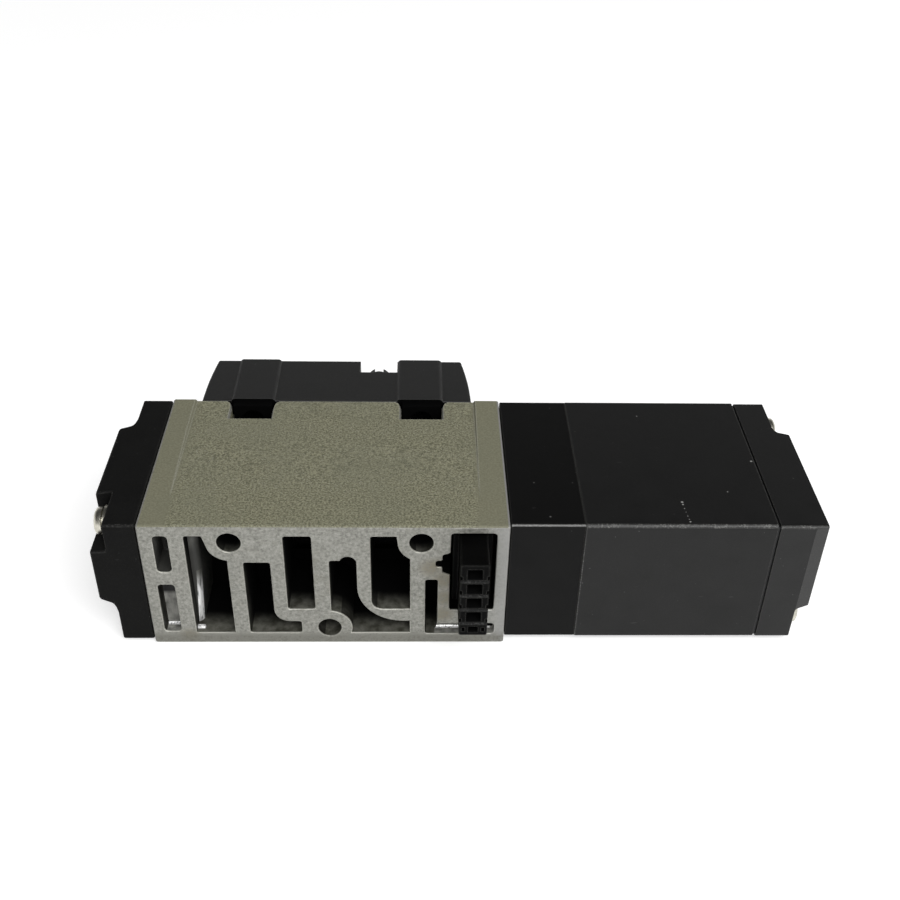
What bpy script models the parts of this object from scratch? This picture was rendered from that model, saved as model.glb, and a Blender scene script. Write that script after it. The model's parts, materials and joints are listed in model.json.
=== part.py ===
"""Base-mounted solenoid directional valve, lying on its side with the ported face towards -Y.

Lengths are in metres. Pieces are drawn from a datum: X runs along the valve from the left end of the
cast body, Y runs from the ported face towards the cover, and Z runs up from the lower side of the
moulded ends. The datum empty then puts the middle of the whole valve above the world origin.
"""
import math

import bmesh
import bpy
from mathutils import Matrix

# Clearances
SEAT_GAP = 0.00015
FIT_GAP = 0.0002
RUN_GAP = 0.00015
CUT_MARGIN = 0.001

# Facets
TURN_STEPS = 16
HOLE_STEPS = 12
RING_SIDES = 6
ARC_STEPS = 5
DOME_STEPS = 3
SPRING_STEPS = 10
SMALL_SPRING_STEPS = 8
WIRE_RESOLUTION = 1
SMOOTH_ANGLE = math.radians(35)
WELD_DISTANCE = 1e-7
TURN_MERGE = 1e-6

# Cast body: its length runs on past the second mounting hole, and its foot goes below the datum
BODY_TAIL = 0.0138
BODY_HEIGHT = 0.0354
BODY_WIDTH = 0.0245
BODY_FOOT = 0.0007
BORE_RADIUS = 0.0060
TAIL_BORE_STEP = 0.0014

# Mounting screw holes and the recesses for their heads
MOUNT_HOLE_RADIUS = 0.0019
MOUNT_FIRST_X = 0.0140
MOUNT_SPACING = 0.0300
MOUNT_TOP_EDGE = 0.0034
MOUNT_LOW_EDGE = 0.0028
MOUNT_WALL = 0.00185
HEAD_RECESS_RADIUS = 0.0036
HEAD_RECESS_DEPTH = 0.0053

# Port pockets in the mounting face, placed from the mounting holes
PORT_LOW_EDGE = 0.0017
PORT_TOP_EDGE = 0.0021
PORT_OVERLAP = 0.0009
EXHAUST_A_BEFORE_MOUNT = 0.0006
EXHAUST_A_WIDTH = 0.0063
OUTLET_A_WALL = 0.0025
OUTLET_A_WIDTH = 0.0042
OUTLET_A_TOP_EDGE = 0.0075
OUTLET_A_TOE_LENGTH = 0.0043
OUTLET_A_FOOT = 0.0042
OUTLET_A_FILLET = 0.0025
SUPPLY_LEFT_WALL = 0.0023
SUPPLY_RIGHT_WALL = 0.0026
SUPPLY_LOW = 0.0070
OUTLET_B_PAST_MOUNT = 0.0004
OUTLET_B_WIDTH = 0.0043
OUTLET_B_TOP_EDGE = 0.0071
OUTLET_B_BULGE = 0.00135
OUTLET_B_BULGE_DROP = 0.0005
OUTLET_B_TOE_LENGTH = 0.00845
OUTLET_B_FOOT = 0.0043
OUTLET_B_SWEEP = 0.0073
EXHAUST_B_WALL = 0.0023
EXHAUST_B_BEFORE_MOUNT = 0.0018
EXHAUST_B_LOW = 0.0070
EXHAUST_B_CORNER = 0.0017

# Small pockets beside the ports
SLOT_LEFT = 0.0023
SLOT_WIDTH = 0.0023
SLOT_HEIGHT = 0.0074
SLOT_DEPTH = 0.0055
SLOT_CORNER = 0.0007
RELIEF_LEFT = 0.0019
RELIEF_WIDTH = 0.0027
RELIEF_LOW = 0.0020
RELIEF_HEIGHT = 0.0103
RELIEF_DEPTH = 0.0028
VENT_FROM_END = 0.01315
VENT_WIDTH = 0.0020
VENT_LOW = 0.00145
VENT_TOP = 0.0134
VENT_DEPTH = 0.0080
VENT_RUN_HEIGHT = 0.0023
VENT_RUN_DEPTH = 0.00185
VENT_RUN_END = 0.0017

# Connector
PLUG_FRONT = 0.0060
PLUG_WIDTH = 0.0045
PLUG_ABOVE_AXIS = 0.0022
PLUG_CELL_PITCH = 0.00295
PLUG_CELLS = 5
PLUG_RIB = 0.00094
PLUG_SOCKET_WIDTH = 0.0023
PLUG_SOCKET_DEPTH = 0.0050
PLUG_FLANGE_START = 0.0020
PLUG_FLANGE_GAP = 0.0004
PLUG_FLOOR_GAP = 0.0010
CONTACT_SIZE = 0.00064
CONTACT_RECESS = 0.0015
CONTACT_TAIL = 0.0004

# Pocket around the connector, with the key at its left
PLUG_POCKET_WALL = 0.0020
PLUG_POCKET_WIDTH = 0.0072
PLUG_LOW_GAP = 0.000225
PLUG_TOP_GAP = 0.001275
KEY_UP = 0.00765
KEY_HEIGHT = 0.0046
KEY_DEPTH = 0.00125
KEY_SLOPE = 0.0005
KEY_NIB_WIDTH = 0.00105
KEY_NIB_HEIGHT = 0.0013

# Sleeve and its seals
SLEEVE_WALL = 0.0020
SLEEVE_TAIL = 0.00525
SLEEVE_PORT_DEPTH = 0.0008
PORT_WINDOW = 0.0030
ORING_RADIUS = 0.00055
ORING_GROOVE_WIDTH = 0.0014
END_ORING_GAP = 0.0026

# Spool: lands are placed from the ports that they close
SPOOL_STROKE = 0.0035
SPOOL_STOP_GAP = 0.0007
SPOOL_CORE = 0.0023
SPOOL_LAND_WIDTH = 0.0018
SPOOL_LAND_OFFSET = 0.0008
SPOOL_END_LAND = 0.0030
SPOOL_TAIL_LAND_WIDTH = 0.0028
SPOOL_TAIL_LAND_INSET = 0.00025
SPOOL_TAIL_FROM_END = 0.0010

# Return spring
SPRING_WIRE = 0.0004
SPRING_SIDE_GAP = 0.0007
SPRING_TURNS = 6
SPRING_POCKET_WALL = 0.0019

# Plastic ends: insets from the body's outline
PLASTIC_FRONT_INSET = 0.0004
PLASTIC_BACK_INSET = 0.0002
PLASTIC_SIDE_INSET = 0.0002
ADAPTER_FRONT_INSET = 0.0007

# End screws
SCREW_RADIUS = 0.00135
SCREW_EDGE = 0.0037
SCREW_HEAD_RADIUS = 0.00265
SCREW_HEAD_HEIGHT = 0.0020
SCREW_HEAD_ROUND = 0.0005
SCREW_CROSS_WIDTH = 0.0006
SCREW_CROSS_SPAN = 0.0030
SCREW_CROSS_DEPTH = 0.0010
END_SCREW_EDGE_Y = 0.0052
END_SCREW_EDGE_Z = 0.0032
END_SCREW_GRIP = 0.0062
PILOT_SCREW_GRIP = 0.0058

# Left end plate: recess sizes at the screws are counted from the screw heads
END_FLANGE = 0.00515
END_BOSS = 0.0026
END_SCREW_ROOM_Y = 0.0006
END_SCREW_ROOM_Z = 0.00015
END_PLAIN_RECESS_Y = 0.0094
END_PLAIN_RECESS_Z = 0.0095
END_RECESS_SLOPE = 0.0017

# Pilot piston and the adapter plate around it
PISTON_BORE = 0.0076
PISTON_LENGTH = 0.0040
PISTON_NOSE_RADIUS = 0.0025
PISTON_REST_GAP = 0.0003
PISTON_STOP_GAP = 0.00045
PISTON_GROOVE_WIDTH = 0.0018
PISTON_GROOVE_DEPTH = 0.0016
ADAPTER_END_WALL = 0.00325
PILOT_PASSAGE = 0.0008

# Face seals
SEAL_HEIGHT = 0.0008
SEAL_WIDTH = 0.0010
END_SEAL_LAND = 0.0010
ADAPTER_SEAL_LAND = 0.0008
PILOT_SEAL_LAND = 0.0016

# Pilot housing and its end cap
HOUSING_FACE_WALL = 0.00375
HOUSING_END_ROOM = 0.0020
GASKET_THICKNESS = 0.0004
GASKET_GAP = 0.0001
GASKET_INSET = 0.0004
CAP_FLANGE = 0.0047
CAP_BOSS = 0.0029
CAP_SCREW_ROOM_Y = 0.00295
CAP_SCREW_ROOM_Z = 0.00025
CAP_RECESS_SLOPE = 0.0011
CAP_CHAMFER = 0.0003
CAP_PAD_RADIUS = 0.0042

# Pilot valve and solenoid
SEAT_RADIUS = 0.0024
SEAT_TIP_RADIUS = 0.0009
SEAT_TIP_HEIGHT = 0.0009
SEAT_ORIFICE = 0.00045
POPPET_RADIUS = 0.0017
POPPET_THICKNESS = 0.00085
POPPET_PROUD = 0.00035
ARMATURE_RADIUS = 0.0032
ARMATURE_LENGTH = 0.0113
ARMATURE_STROKE = 0.0006
ARMATURE_STOP_GAP = 0.0001
ARMATURE_POCKET_RADIUS = 0.0021
ARMATURE_POCKET_DEPTH = 0.0063
ARMATURE_SPRING_WIRE = 0.00022
ARMATURE_SPRING_SIDE_GAP = 0.00038
ARMATURE_SPRING_TURNS = 6
YOKE_THICKNESS = 0.0013
YOKE_START = 0.0004
YOKE_HALF_WIDTH = 0.0065
YOKE_REACH = 0.0095
BOBBIN_LENGTH = 0.0179
BOBBIN_FLANGE = 0.0012
BOBBIN_FLANGE_RADIUS = 0.0092
BOBBIN_WALL = 0.0009
COIL_DROP = 0.0006
CORE_FLANGE_RADIUS = 0.0046
CORE_FLANGE = 0.0014
TERMINAL_HALF_WIDTH = 0.0028
TERMINAL_LIP = 0.0007

# Leads
LEAD_RADIUS = 0.00045
LEAD_HOLE = 0.00065
LEAD_WALL = 0.0013
COIL_LEAD_ABOVE_AXIS = 0.00235
COIL_LEAD_PITCH = 0.0028
COIL_LEAD_TO_FLOOR = 0.0020
BOARD_LEAD_PITCH = 0.0012
BOARD_LEAD_TOP_EDGE = 0.001425
BOARD_LEAD_WALL = 0.0011
LEAD_CHANNEL_GAP = 0.0003

# Top cover
COVER_HEIGHT = 0.0137
COVER_END_INSET = 0.0050
COVER_TAPER = 0.0012
COVER_SIDE_INSET = 0.0005
COVER_WALL = 0.0013
BULGE_RADIUS = 0.0037
BULGE_INSET = 0.0001
SPIGOT_DEPTH = 0.0016
DRIVER_HOLE_RADIUS = 0.0020
NOTCH_BEFORE_MOUNT = 0.00795
NOTCH_WIDTH = 0.0069
NOTCH_DEPTH = 0.0040
NOTCH_REACH = 0.0075

# Manual override
OVERRIDE_EDGE = 0.0040
OVERRIDE_STROKE = 0.0015
OVERRIDE_STEM = 0.00155
OVERRIDE_HEAD = 0.0021
OVERRIDE_HEAD_CHAMFER = 0.0004
OVERRIDE_TOP_DROP = 0.0001
OVERRIDE_SLOT_WIDTH = 0.0012
OVERRIDE_SLOT_DEPTH = 0.0012
OVERRIDE_BORE_DEPTH = 0.0094
OVERRIDE_SPRING_LENGTH = 0.0034
OVERRIDE_SPRING_WIRE = 0.0002
OVERRIDE_SPRING_SIDE_GAP = 0.0004
OVERRIDE_SPRING_TURNS = 3
OVERRIDE_RING = 0.0004
OVERRIDE_RING_HEIGHT = 0.0030

# Indicator board under the cover, fitted between the bulges
BOARD_THICKNESS = 0.0012
BOARD_LIFT = 0.0016
BOARD_LEFT_GAP = 0.0003
BOARD_LOW_GAP = 0.00075
BOARD_TOP_GAP = 0.00015
POST_INSET = 0.0090
POST_SPACING = 0.0150
POST_RADIUS = 0.0013
POST_PIN_RADIUS = 0.0006
LED_INSET = 0.0040
LED_RADIUS = 0.0015
LED_HEIGHT = 0.0042
LED_DOME_ANGLE = 60
LENS_RADIUS = 0.0018
LENS_FLANGE_RADIUS = 0.0025
LENS_FLANGE = 0.0008

# The three mounting holes, each with the side that its head recess opens to
MOUNT_SECOND_X = MOUNT_FIRST_X + MOUNT_SPACING
MOUNT_THIRD_X = MOUNT_FIRST_X + MOUNT_SPACING / 2
MOUNT_HOLES = (
    (MOUNT_FIRST_X, BODY_WIDTH - MOUNT_TOP_EDGE, BODY_WIDTH),
    (MOUNT_SECOND_X, BODY_WIDTH - MOUNT_TOP_EDGE, BODY_WIDTH),
    (MOUNT_THIRD_X, MOUNT_LOW_EDGE, -BODY_FOOT),
)
BODY_LENGTH = MOUNT_SECOND_X + BODY_TAIL

# Port edges along X
EXHAUST_A_RIGHT = MOUNT_FIRST_X - EXHAUST_A_BEFORE_MOUNT
EXHAUST_A_LEFT = EXHAUST_A_RIGHT - EXHAUST_A_WIDTH
OUTLET_A_LEFT = EXHAUST_A_RIGHT + OUTLET_A_WALL
OUTLET_A_RIGHT = OUTLET_A_LEFT + OUTLET_A_WIDTH
SUPPLY_LEFT = OUTLET_A_RIGHT + SUPPLY_LEFT_WALL
OUTLET_B_LEFT = MOUNT_THIRD_X + OUTLET_B_PAST_MOUNT
OUTLET_B_RIGHT = OUTLET_B_LEFT + OUTLET_B_WIDTH
SUPPLY_RIGHT = OUTLET_B_LEFT - SUPPLY_RIGHT_WALL
EXHAUST_B_LEFT = OUTLET_B_RIGHT + EXHAUST_B_WALL
EXHAUST_B_RIGHT = MOUNT_SECOND_X - EXHAUST_B_BEFORE_MOUNT
PORTS = (
    (EXHAUST_A_LEFT, EXHAUST_A_RIGHT),
    (OUTLET_A_LEFT, OUTLET_A_RIGHT),
    (SUPPLY_LEFT, SUPPLY_RIGHT),
    (OUTLET_B_LEFT, OUTLET_B_RIGHT),
    (EXHAUST_B_LEFT, EXHAUST_B_RIGHT),
)
SLEEVE_END = EXHAUST_B_RIGHT + SLEEVE_TAIL
SLEEVE_BORE = BORE_RADIUS - SLEEVE_WALL
SPOOL_START = SPOOL_STROKE + SPOOL_STOP_GAP

# Levels along Y and Z
AXIS_Y = BODY_HEIGHT / 2
AXIS_Z = BODY_WIDTH / 2
AXIS = (AXIS_Y, AXIS_Z)
COVER_Y = BODY_HEIGHT + SEAT_GAP
COVER_TOP = COVER_Y + COVER_HEIGHT
NOTCH_FLOOR = COVER_TOP - NOTCH_DEPTH
PLASTIC_LOW_Z = PLASTIC_SIDE_INSET
PLASTIC_TOP_Z = BODY_WIDTH - PLASTIC_SIDE_INSET
PLASTIC_BACK_Y = BODY_HEIGHT - PLASTIC_BACK_INSET
BOARD_Y = BODY_HEIGHT + BOARD_LIFT
BOARD_TOP = BOARD_Y + BOARD_THICKNESS
END_SEAL_RADIUS = BORE_RADIUS + END_SEAL_LAND
ADAPTER_SEAL_RADIUS = PISTON_BORE + ADAPTER_SEAL_LAND
PILOT_SEAL_RADIUS = SEAT_RADIUS + PILOT_SEAL_LAND
COIL_LEAD_Y = AXIS_Y - ADAPTER_SEAL_RADIUS - SEAL_WIDTH - LEAD_WALL
TERMINAL_Y = COIL_LEAD_Y - TERMINAL_LIP
PLUG_POCKET_DEPTH = COIL_LEAD_Y + COIL_LEAD_TO_FLOOR
PLUG_FLANGE_END = PLUG_POCKET_DEPTH - PLUG_FLOOR_GAP

# Stations along X, from the left end plate to the pilot end cap
END_FLANGE_X = -SEAT_GAP - END_FLANGE
END_BOSS_X = END_FLANGE_X - END_BOSS
SPRING_FLOOR_X = END_BOSS_X + SPRING_POCKET_WALL
ADAPTER_X = BODY_LENGTH + SEAT_GAP
PISTON_CHAMBER_END = ADAPTER_X + PISTON_STOP_GAP + SPOOL_STROKE + PISTON_LENGTH + PISTON_REST_GAP
ADAPTER_END = PISTON_CHAMBER_END + ADAPTER_END_WALL
HOUSING_X = ADAPTER_END + SEAT_GAP
CAVITY_X = HOUSING_X + HOUSING_FACE_WALL
SEAT_TIP_X = CAVITY_X + SEAT_TIP_HEIGHT
POPPET_X = SEAT_TIP_X + FIT_GAP
ARMATURE_X = POPPET_X + POPPET_PROUD
ARMATURE_END = ARMATURE_X + ARMATURE_LENGTH
CORE_X = ARMATURE_END + ARMATURE_STROKE + ARMATURE_STOP_GAP
YOKE_X = ARMATURE_X + YOKE_START
BOBBIN_X = YOKE_X + YOKE_THICKNESS + FIT_GAP
BOBBIN_END = BOBBIN_X + BOBBIN_LENGTH
YOKE_END = BOBBIN_END + FIT_GAP + YOKE_THICKNESS
CORE_FLANGE_X = YOKE_END + FIT_GAP
CORE_END = CORE_FLANGE_X + CORE_FLANGE
HOUSING_END = CORE_END + HOUSING_END_ROOM
GASKET_X = HOUSING_END + GASKET_GAP
CAP_X = GASKET_X + GASKET_THICKNESS + GASKET_GAP
CAP_FLANGE_X = CAP_X + CAP_FLANGE
CAP_END = CAP_FLANGE_X + CAP_BOSS
YOKE_BACK = AXIS_Y + BOBBIN_FLANGE_RADIUS + FIT_GAP + YOKE_THICKNESS

# Places of the screws, connector, leads and override
SCREW_HEAD_REACH = SCREW_EDGE + SCREW_HEAD_RADIUS
END_SCREWS = (
    (END_SCREW_EDGE_Y, BODY_WIDTH - END_SCREW_EDGE_Z),
    (BODY_HEIGHT - END_SCREW_EDGE_Y, END_SCREW_EDGE_Z),
)
PILOT_SCREWS = (
    (BODY_HEIGHT - SCREW_EDGE - PLASTIC_BACK_INSET, BODY_WIDTH - SCREW_EDGE),
    (SCREW_EDGE, SCREW_EDGE),
)
PLUG_POCKET_RIGHT = BODY_LENGTH - PLUG_POCKET_WALL
PLUG_POCKET_LEFT = PLUG_POCKET_RIGHT - PLUG_POCKET_WIDTH
PLUG_X = (PLUG_POCKET_LEFT + PLUG_POCKET_RIGHT) / 2
PLUG_LOW = AXIS_Z + PLUG_ABOVE_AXIS - PLUG_CELLS * PLUG_CELL_PITCH / 2
PLUG_TOP = PLUG_LOW + PLUG_CELLS * PLUG_CELL_PITCH
PLUG_POCKET_LOW = PLUG_LOW - PLUG_LOW_GAP
PLUG_POCKET_TOP = PLUG_TOP + PLUG_TOP_GAP
PLUG_FLANGE_LEFT = PLUG_POCKET_LEFT + PLUG_FLANGE_GAP
PLUG_FLANGE_RIGHT = PLUG_POCKET_RIGHT - PLUG_FLANGE_GAP
COIL_LEADS = (AXIS_Z + COIL_LEAD_ABOVE_AXIS, AXIS_Z + COIL_LEAD_ABOVE_AXIS + COIL_LEAD_PITCH)
BOARD_LEAD_X = BODY_LENGTH - COVER_END_INSET - COVER_WALL - BOARD_LEAD_WALL
BOARD_LEADS = (BOARD_LEAD_X - BOARD_LEAD_PITCH, BOARD_LEAD_X)
BOARD_LEAD_Z = PLUG_TOP - BOARD_LEAD_TOP_EDGE
BOARD_LEFT = MOUNT_FIRST_X + BULGE_RADIUS + BOARD_LEFT_GAP
BOARD_POSTS = (BOARD_LEFT + POST_INSET, BOARD_LEFT + POST_INSET + POST_SPACING)
LED_AT = (BOARD_LEFT + LED_INSET, AXIS_Z)
NOTCH_CENTRE_X = MOUNT_SECOND_X - NOTCH_BEFORE_MOUNT
OVERRIDE_AT = (NOTCH_CENTRE_X, BODY_WIDTH - OVERRIDE_EDGE)

# Finishes: name, colour, roughness and metallic value
BLACK = ("black_plastic", (0.030, 0.030, 0.029), 0.50, 0.0)
CAST = ("cast_aluminium", (0.17, 0.165, 0.12), 0.55, 0.2)
STEEL = ("bright_steel", (0.55, 0.55, 0.54), 0.28, 1.0)
SPRING_STEEL = ("spring_steel", (0.42, 0.42, 0.43), 0.30, 1.0)
SOFT_IRON = ("soft_iron", (0.36, 0.36, 0.37), 0.38, 1.0)
ALUMINIUM = ("turned_aluminium", (0.60, 0.60, 0.61), 0.32, 1.0)
RUBBER = ("nitrile_rubber", (0.018, 0.018, 0.018), 0.75, 0.0)
BRASS = ("brass", (0.62, 0.45, 0.19), 0.30, 1.0)
COPPER = ("copper_winding", (0.52, 0.20, 0.09), 0.35, 0.8)
NYLON = ("bobbin_nylon", (0.55, 0.54, 0.48), 0.55, 0.0)
BOARD = ("circuit_board", (0.02, 0.16, 0.07), 0.50, 0.0)
LED_RED = ("led_epoxy", (0.50, 0.03, 0.02), 0.20, 0.0)
LENS = ("lens_plastic", (0.60, 0.12, 0.08), 0.12, 0.0)
INSULATION = ("wire_insulation", (0.35, 0.04, 0.03), 0.55, 0.0)


for leftover in list(bpy.data.objects):
    bpy.data.objects.remove(leftover, do_unlink=True)

valve = bpy.data.collections.new("solenoid_valve")
cutters = bpy.data.collections.new("solenoid_valve_cutters")
bpy.context.scene.collection.children.link(valve)
bpy.context.scene.collection.children.link(cutters)

datum = bpy.data.objects.new("valve_datum", None)
datum.location = (-(END_BOSS_X + CAP_END) / 2, -(COVER_TOP - PLUG_FRONT) / 2, BODY_FOOT)
valve.objects.link(datum)


def finish_material(finish):
    """Return the Principled material of a (name, colour, roughness, metallic) finish."""
    name, colour, roughness, metallic = finish
    material = bpy.data.materials.get(name)
    if material is None:
        material = bpy.data.materials.new(name)
        material.use_nodes = True
        shader = material.node_tree.nodes["Principled BSDF"]
        shader.inputs["Base Color"].default_value = (*colour, 1.0)
        shader.inputs["Roughness"].default_value = roughness
        shader.inputs["Metallic"].default_value = metallic
    return material


def add_object(name, data, finish=None):
    """Link a piece to the valve, or a cutter to the cutters when it has no finish."""
    obj = bpy.data.objects.new(name, data)
    obj.parent = datum
    if finish is None:
        cutters.objects.link(obj)
        obj.hide_render = True
        obj.display_type = "WIRE"
    else:
        valve.objects.link(obj)
        data.materials.append(finish_material(finish))
    return obj


def evaluated_mesh(obj):
    """Return a new mesh with the object's modifiers or curve settings applied."""
    bpy.context.view_layer.update()
    depsgraph = bpy.context.evaluated_depsgraph_get()
    return bpy.data.meshes.new_from_object(obj.evaluated_get(depsgraph))


def shade(mesh):
    mesh.shade_smooth()
    mesh.set_sharp_from_angle(angle=SMOOTH_ANGLE)


def bake(obj):
    """Replace the object's mesh by the result of its modifiers."""
    mesh = evaluated_mesh(obj)
    obj.modifiers.clear()
    obj.data = mesh
    shade(mesh)
    return obj


def combine(obj, others, operation):
    for other in others:
        modifier = obj.modifiers.new(other.name, "BOOLEAN")
        modifier.operation = operation
        modifier.object = other
    return bake(obj)


def cut(obj, *others):
    return combine(obj, others, "DIFFERENCE")


def join(obj, *others):
    """Unite pieces drawn as cutters with an object."""
    return combine(obj, others, "UNION")


AXIS_TURN = {
    "X": Matrix(((0, 0, 1), (1, 0, 0), (0, 1, 0))).to_4x4(),
    "Y": Matrix(((1, 0, 0), (0, 0, -1), (0, 1, 0))).to_4x4(),
    "Z": Matrix.Identity(4),
}


def box(name, low, high, finish=None, chamfer=0.0, chamfer_faces=None):
    """Box between two corners; the edges of the faces towards one direction may be chamfered."""
    mesh = bpy.data.meshes.new(name)
    bm = bmesh.new()
    size = [b - a for a, b in zip(low, high)]
    middle = [(a + b) / 2 for a, b in zip(low, high)]
    bmesh.ops.create_cube(bm, size=1.0, matrix=Matrix.Translation(middle) @ Matrix.Diagonal((*size, 1.0)))
    if chamfer_faces:
        bm.normal_update()
        edges = {e for f in bm.faces if f.normal.dot(chamfer_faces) > 0.5 for e in f.edges}
        bmesh.ops.bevel(bm, geom=list(edges), offset=chamfer, segments=1, affect="EDGES")
    bm.to_mesh(mesh)
    bm.free()
    return add_object(name, mesh, finish)


def corner_wedge(name, x_span, y_walls, z_walls, y_out, z_out):
    """Cutter for a recessed corner whose two inner walls may lean between the ends of x_span."""
    cutter = box(name, (0, 0, 0), (1, 1, 1))
    for vertex in cutter.data.vertices:
        end = round(vertex.co.x)
        y = y_out if vertex.co.y < 0.5 else y_walls[end]
        z = z_out if vertex.co.z < 0.5 else z_walls[end]
        vertex.co = (x_span[end], y, z)
    bm = bmesh.new()
    bm.from_mesh(cutter.data)
    bmesh.ops.recalc_face_normals(bm, faces=bm.faces)
    bm.to_mesh(cutter.data)
    bm.free()
    return cutter


def cylinder(name, axis, centre, span, radius, finish=None, steps=HOLE_STEPS):
    """Cylinder along an axis; centre holds its two other coordinates in X, Y, Z order."""
    low, high = span
    along = "XYZ".index(axis)
    middle = list(centre)
    middle.insert(along, (low + high) / 2)
    turn = {
        "X": Matrix.Rotation(math.pi / 2, 4, "Y"),
        "Y": Matrix.Rotation(-math.pi / 2, 4, "X"),
        "Z": Matrix.Identity(4),
    }[axis]
    mesh = bpy.data.meshes.new(name)
    bm = bmesh.new()
    bmesh.ops.create_cone(bm, cap_ends=True, segments=steps, radius1=radius, radius2=radius,
                          depth=high - low, matrix=Matrix.Translation(middle) @ turn)
    bm.to_mesh(mesh)
    bm.free()
    obj = add_object(name, mesh, finish)
    shade(mesh)
    return obj


def prism(name, outline, axis, span, finish=None):
    """Flat outline extruded along an axis: XZ points for Y, YZ points for X, XY points for Z."""
    low, high = span
    curve = bpy.data.curves.new(name, "CURVE")
    curve.dimensions = "2D"
    curve.fill_mode = "BOTH"
    curve.extrude = (high - low) / 2
    spline = curve.splines.new("POLY")
    spline.points.add(len(outline) - 1)
    spline.use_cyclic_u = True
    for point, (u, v) in zip(spline.points, outline):
        point.co = (u, v, 0.0, 1.0)
    place = Matrix.Identity(4)
    place["XYZ".index(axis)][3] = (low + high) / 2
    return solid_from_curve(name, curve, place @ AXIS_TURN[axis], finish)


def solid_from_curve(name, curve, matrix, finish):
    """Turn a curve into a closed mesh object at the same place."""
    drawn = bpy.data.objects.new(name, curve)
    drawn.parent = datum
    valve.objects.link(drawn)
    drawn.matrix_local = matrix
    mesh = evaluated_mesh(drawn)
    bpy.data.objects.remove(drawn)
    bm = bmesh.new()
    bm.from_mesh(mesh)
    bmesh.ops.remove_doubles(bm, verts=bm.verts, dist=WELD_DISTANCE)
    bmesh.ops.recalc_face_normals(bm, faces=bm.faces)
    bm.to_mesh(mesh)
    bm.free()
    mesh.materials.clear()
    obj = add_object(name, mesh, finish)
    obj.matrix_local = matrix
    shade(mesh)
    return obj


def turned(name, profile, axis, centre, finish, steps=TURN_STEPS):
    """Turn (radius, height) points about an axis; a profile off the axis closes into a ring."""
    mesh = bpy.data.meshes.new(name)
    bm = bmesh.new()
    points = [bm.verts.new((radius, 0.0, height)) for radius, height in profile]
    ring = profile[0][0] > 0
    for first, second in zip(points, points[1:] + points[:1] if ring else points[1:]):
        bm.edges.new((first, second))
    bm.to_mesh(mesh)
    bm.free()
    obj = add_object(name, mesh, finish)
    place = list(centre)
    place.insert("XYZ".index(axis), 0.0)
    obj.location = place
    obj.rotation_euler = {"X": (0, math.pi / 2, 0), "Y": (-math.pi / 2, 0, 0), "Z": (0, 0, 0)}[axis]
    screw = obj.modifiers.new("turn", "SCREW")
    screw.steps = steps
    screw.render_steps = steps
    screw.use_merge_vertices = True
    screw.merge_threshold = TURN_MERGE
    return bake(obj)


def ring_section(radius, height, thickness):
    """Closed round section of a seal ring, running down its outer side first."""
    turn = 2 * math.pi / RING_SIDES
    return [(radius + thickness * math.sin(i * turn), height + thickness * math.cos(i * turn))
            for i in range(RING_SIDES)]


def flat_ring(name, axis_centre, span, radius, width, finish):
    low, high = span
    section = [(radius, high), (radius + width, high), (radius + width, low), (radius, low)]
    return turned(name, section, "X", axis_centre, finish)


def wire(name, points, radius, finish):
    """Round wire along straight or coiled points."""
    curve = bpy.data.curves.new(name, "CURVE")
    curve.dimensions = "3D"
    curve.bevel_depth = radius
    curve.bevel_resolution = WIRE_RESOLUTION
    curve.use_fill_caps = True
    spline = curve.splines.new("POLY")
    spline.points.add(len(points) - 1)
    for point, place in zip(spline.points, points):
        point.co = (*place, 1.0)
    return solid_from_curve(name, curve, Matrix.Identity(4), finish)


def coil_points(axis, centre, span, mean_radius, turns, points_per_turn):
    """Points of a helix along an axis."""
    low, high = span
    count = turns * points_per_turn
    points = []
    for i in range(count + 1):
        angle = 2 * math.pi * i / points_per_turn
        place = [centre[0] + mean_radius * math.cos(angle), centre[1] + mean_radius * math.sin(angle)]
        place.insert("XYZ".index(axis), low + (high - low) * i / count)
        points.append(place)
    return points


def arc(centre, radius, start, end, steps=ARC_STEPS):
    """Points on an arc, angles in degrees."""
    angles = [math.radians(start + (end - start) * i / steps) for i in range(steps + 1)]
    return [(centre[0] + radius * math.cos(a), centre[1] + radius * math.sin(a)) for a in angles]


def arc_between(centre, radius, first, last, clockwise=True):
    """Arc about a centre from one point on its circle to another."""
    start = math.degrees(math.atan2(first[1] - centre[1], first[0] - centre[0]))
    end = math.degrees(math.atan2(last[1] - centre[1], last[0] - centre[0]))
    if clockwise and end > start:
        end -= 360
    return arc(centre, radius, start, end)


def chord(radius, offset):
    return math.sqrt(radius * radius - offset * offset)


def rounded_slot(left, low, width, height, corner):
    right = left + width
    top = low + height
    return (arc((right - corner, low + corner), corner, -90, 0)
            + arc((right - corner, top - corner), corner, 0, 90)
            + arc((left + corner, top - corner), corner, 90, 180)
            + arc((left + corner, low + corner), corner, 180, 270))


def u_outline(x, z, radius, end_z):
    """Half circle about a point, with straight sides that run out to end_z."""
    turn = 180 if end_z > z else 0
    return arc((x, z), radius, turn, turn + 180, 2 * ARC_STEPS) + (
        [(x + radius, end_z), (x - radius, end_z)] if end_z > z
        else [(x - radius, end_z), (x + radius, end_z)])


def exhaust_a_outline():
    hole = MOUNT_HOLES[0][:2]
    radius = MOUNT_HOLE_RADIUS + MOUNT_WALL
    top = BODY_WIDTH - PORT_TOP_EDGE
    side = (EXHAUST_A_RIGHT, hole[1] - chord(radius, hole[0] - EXHAUST_A_RIGHT))
    upper = (hole[0] - chord(radius, top - hole[1]), top)
    return ([(EXHAUST_A_LEFT, PORT_LOW_EDGE), (EXHAUST_A_RIGHT, PORT_LOW_EDGE)]
            + arc_between(hole, radius, side, upper) + [(EXHAUST_A_LEFT, top)])


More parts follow.
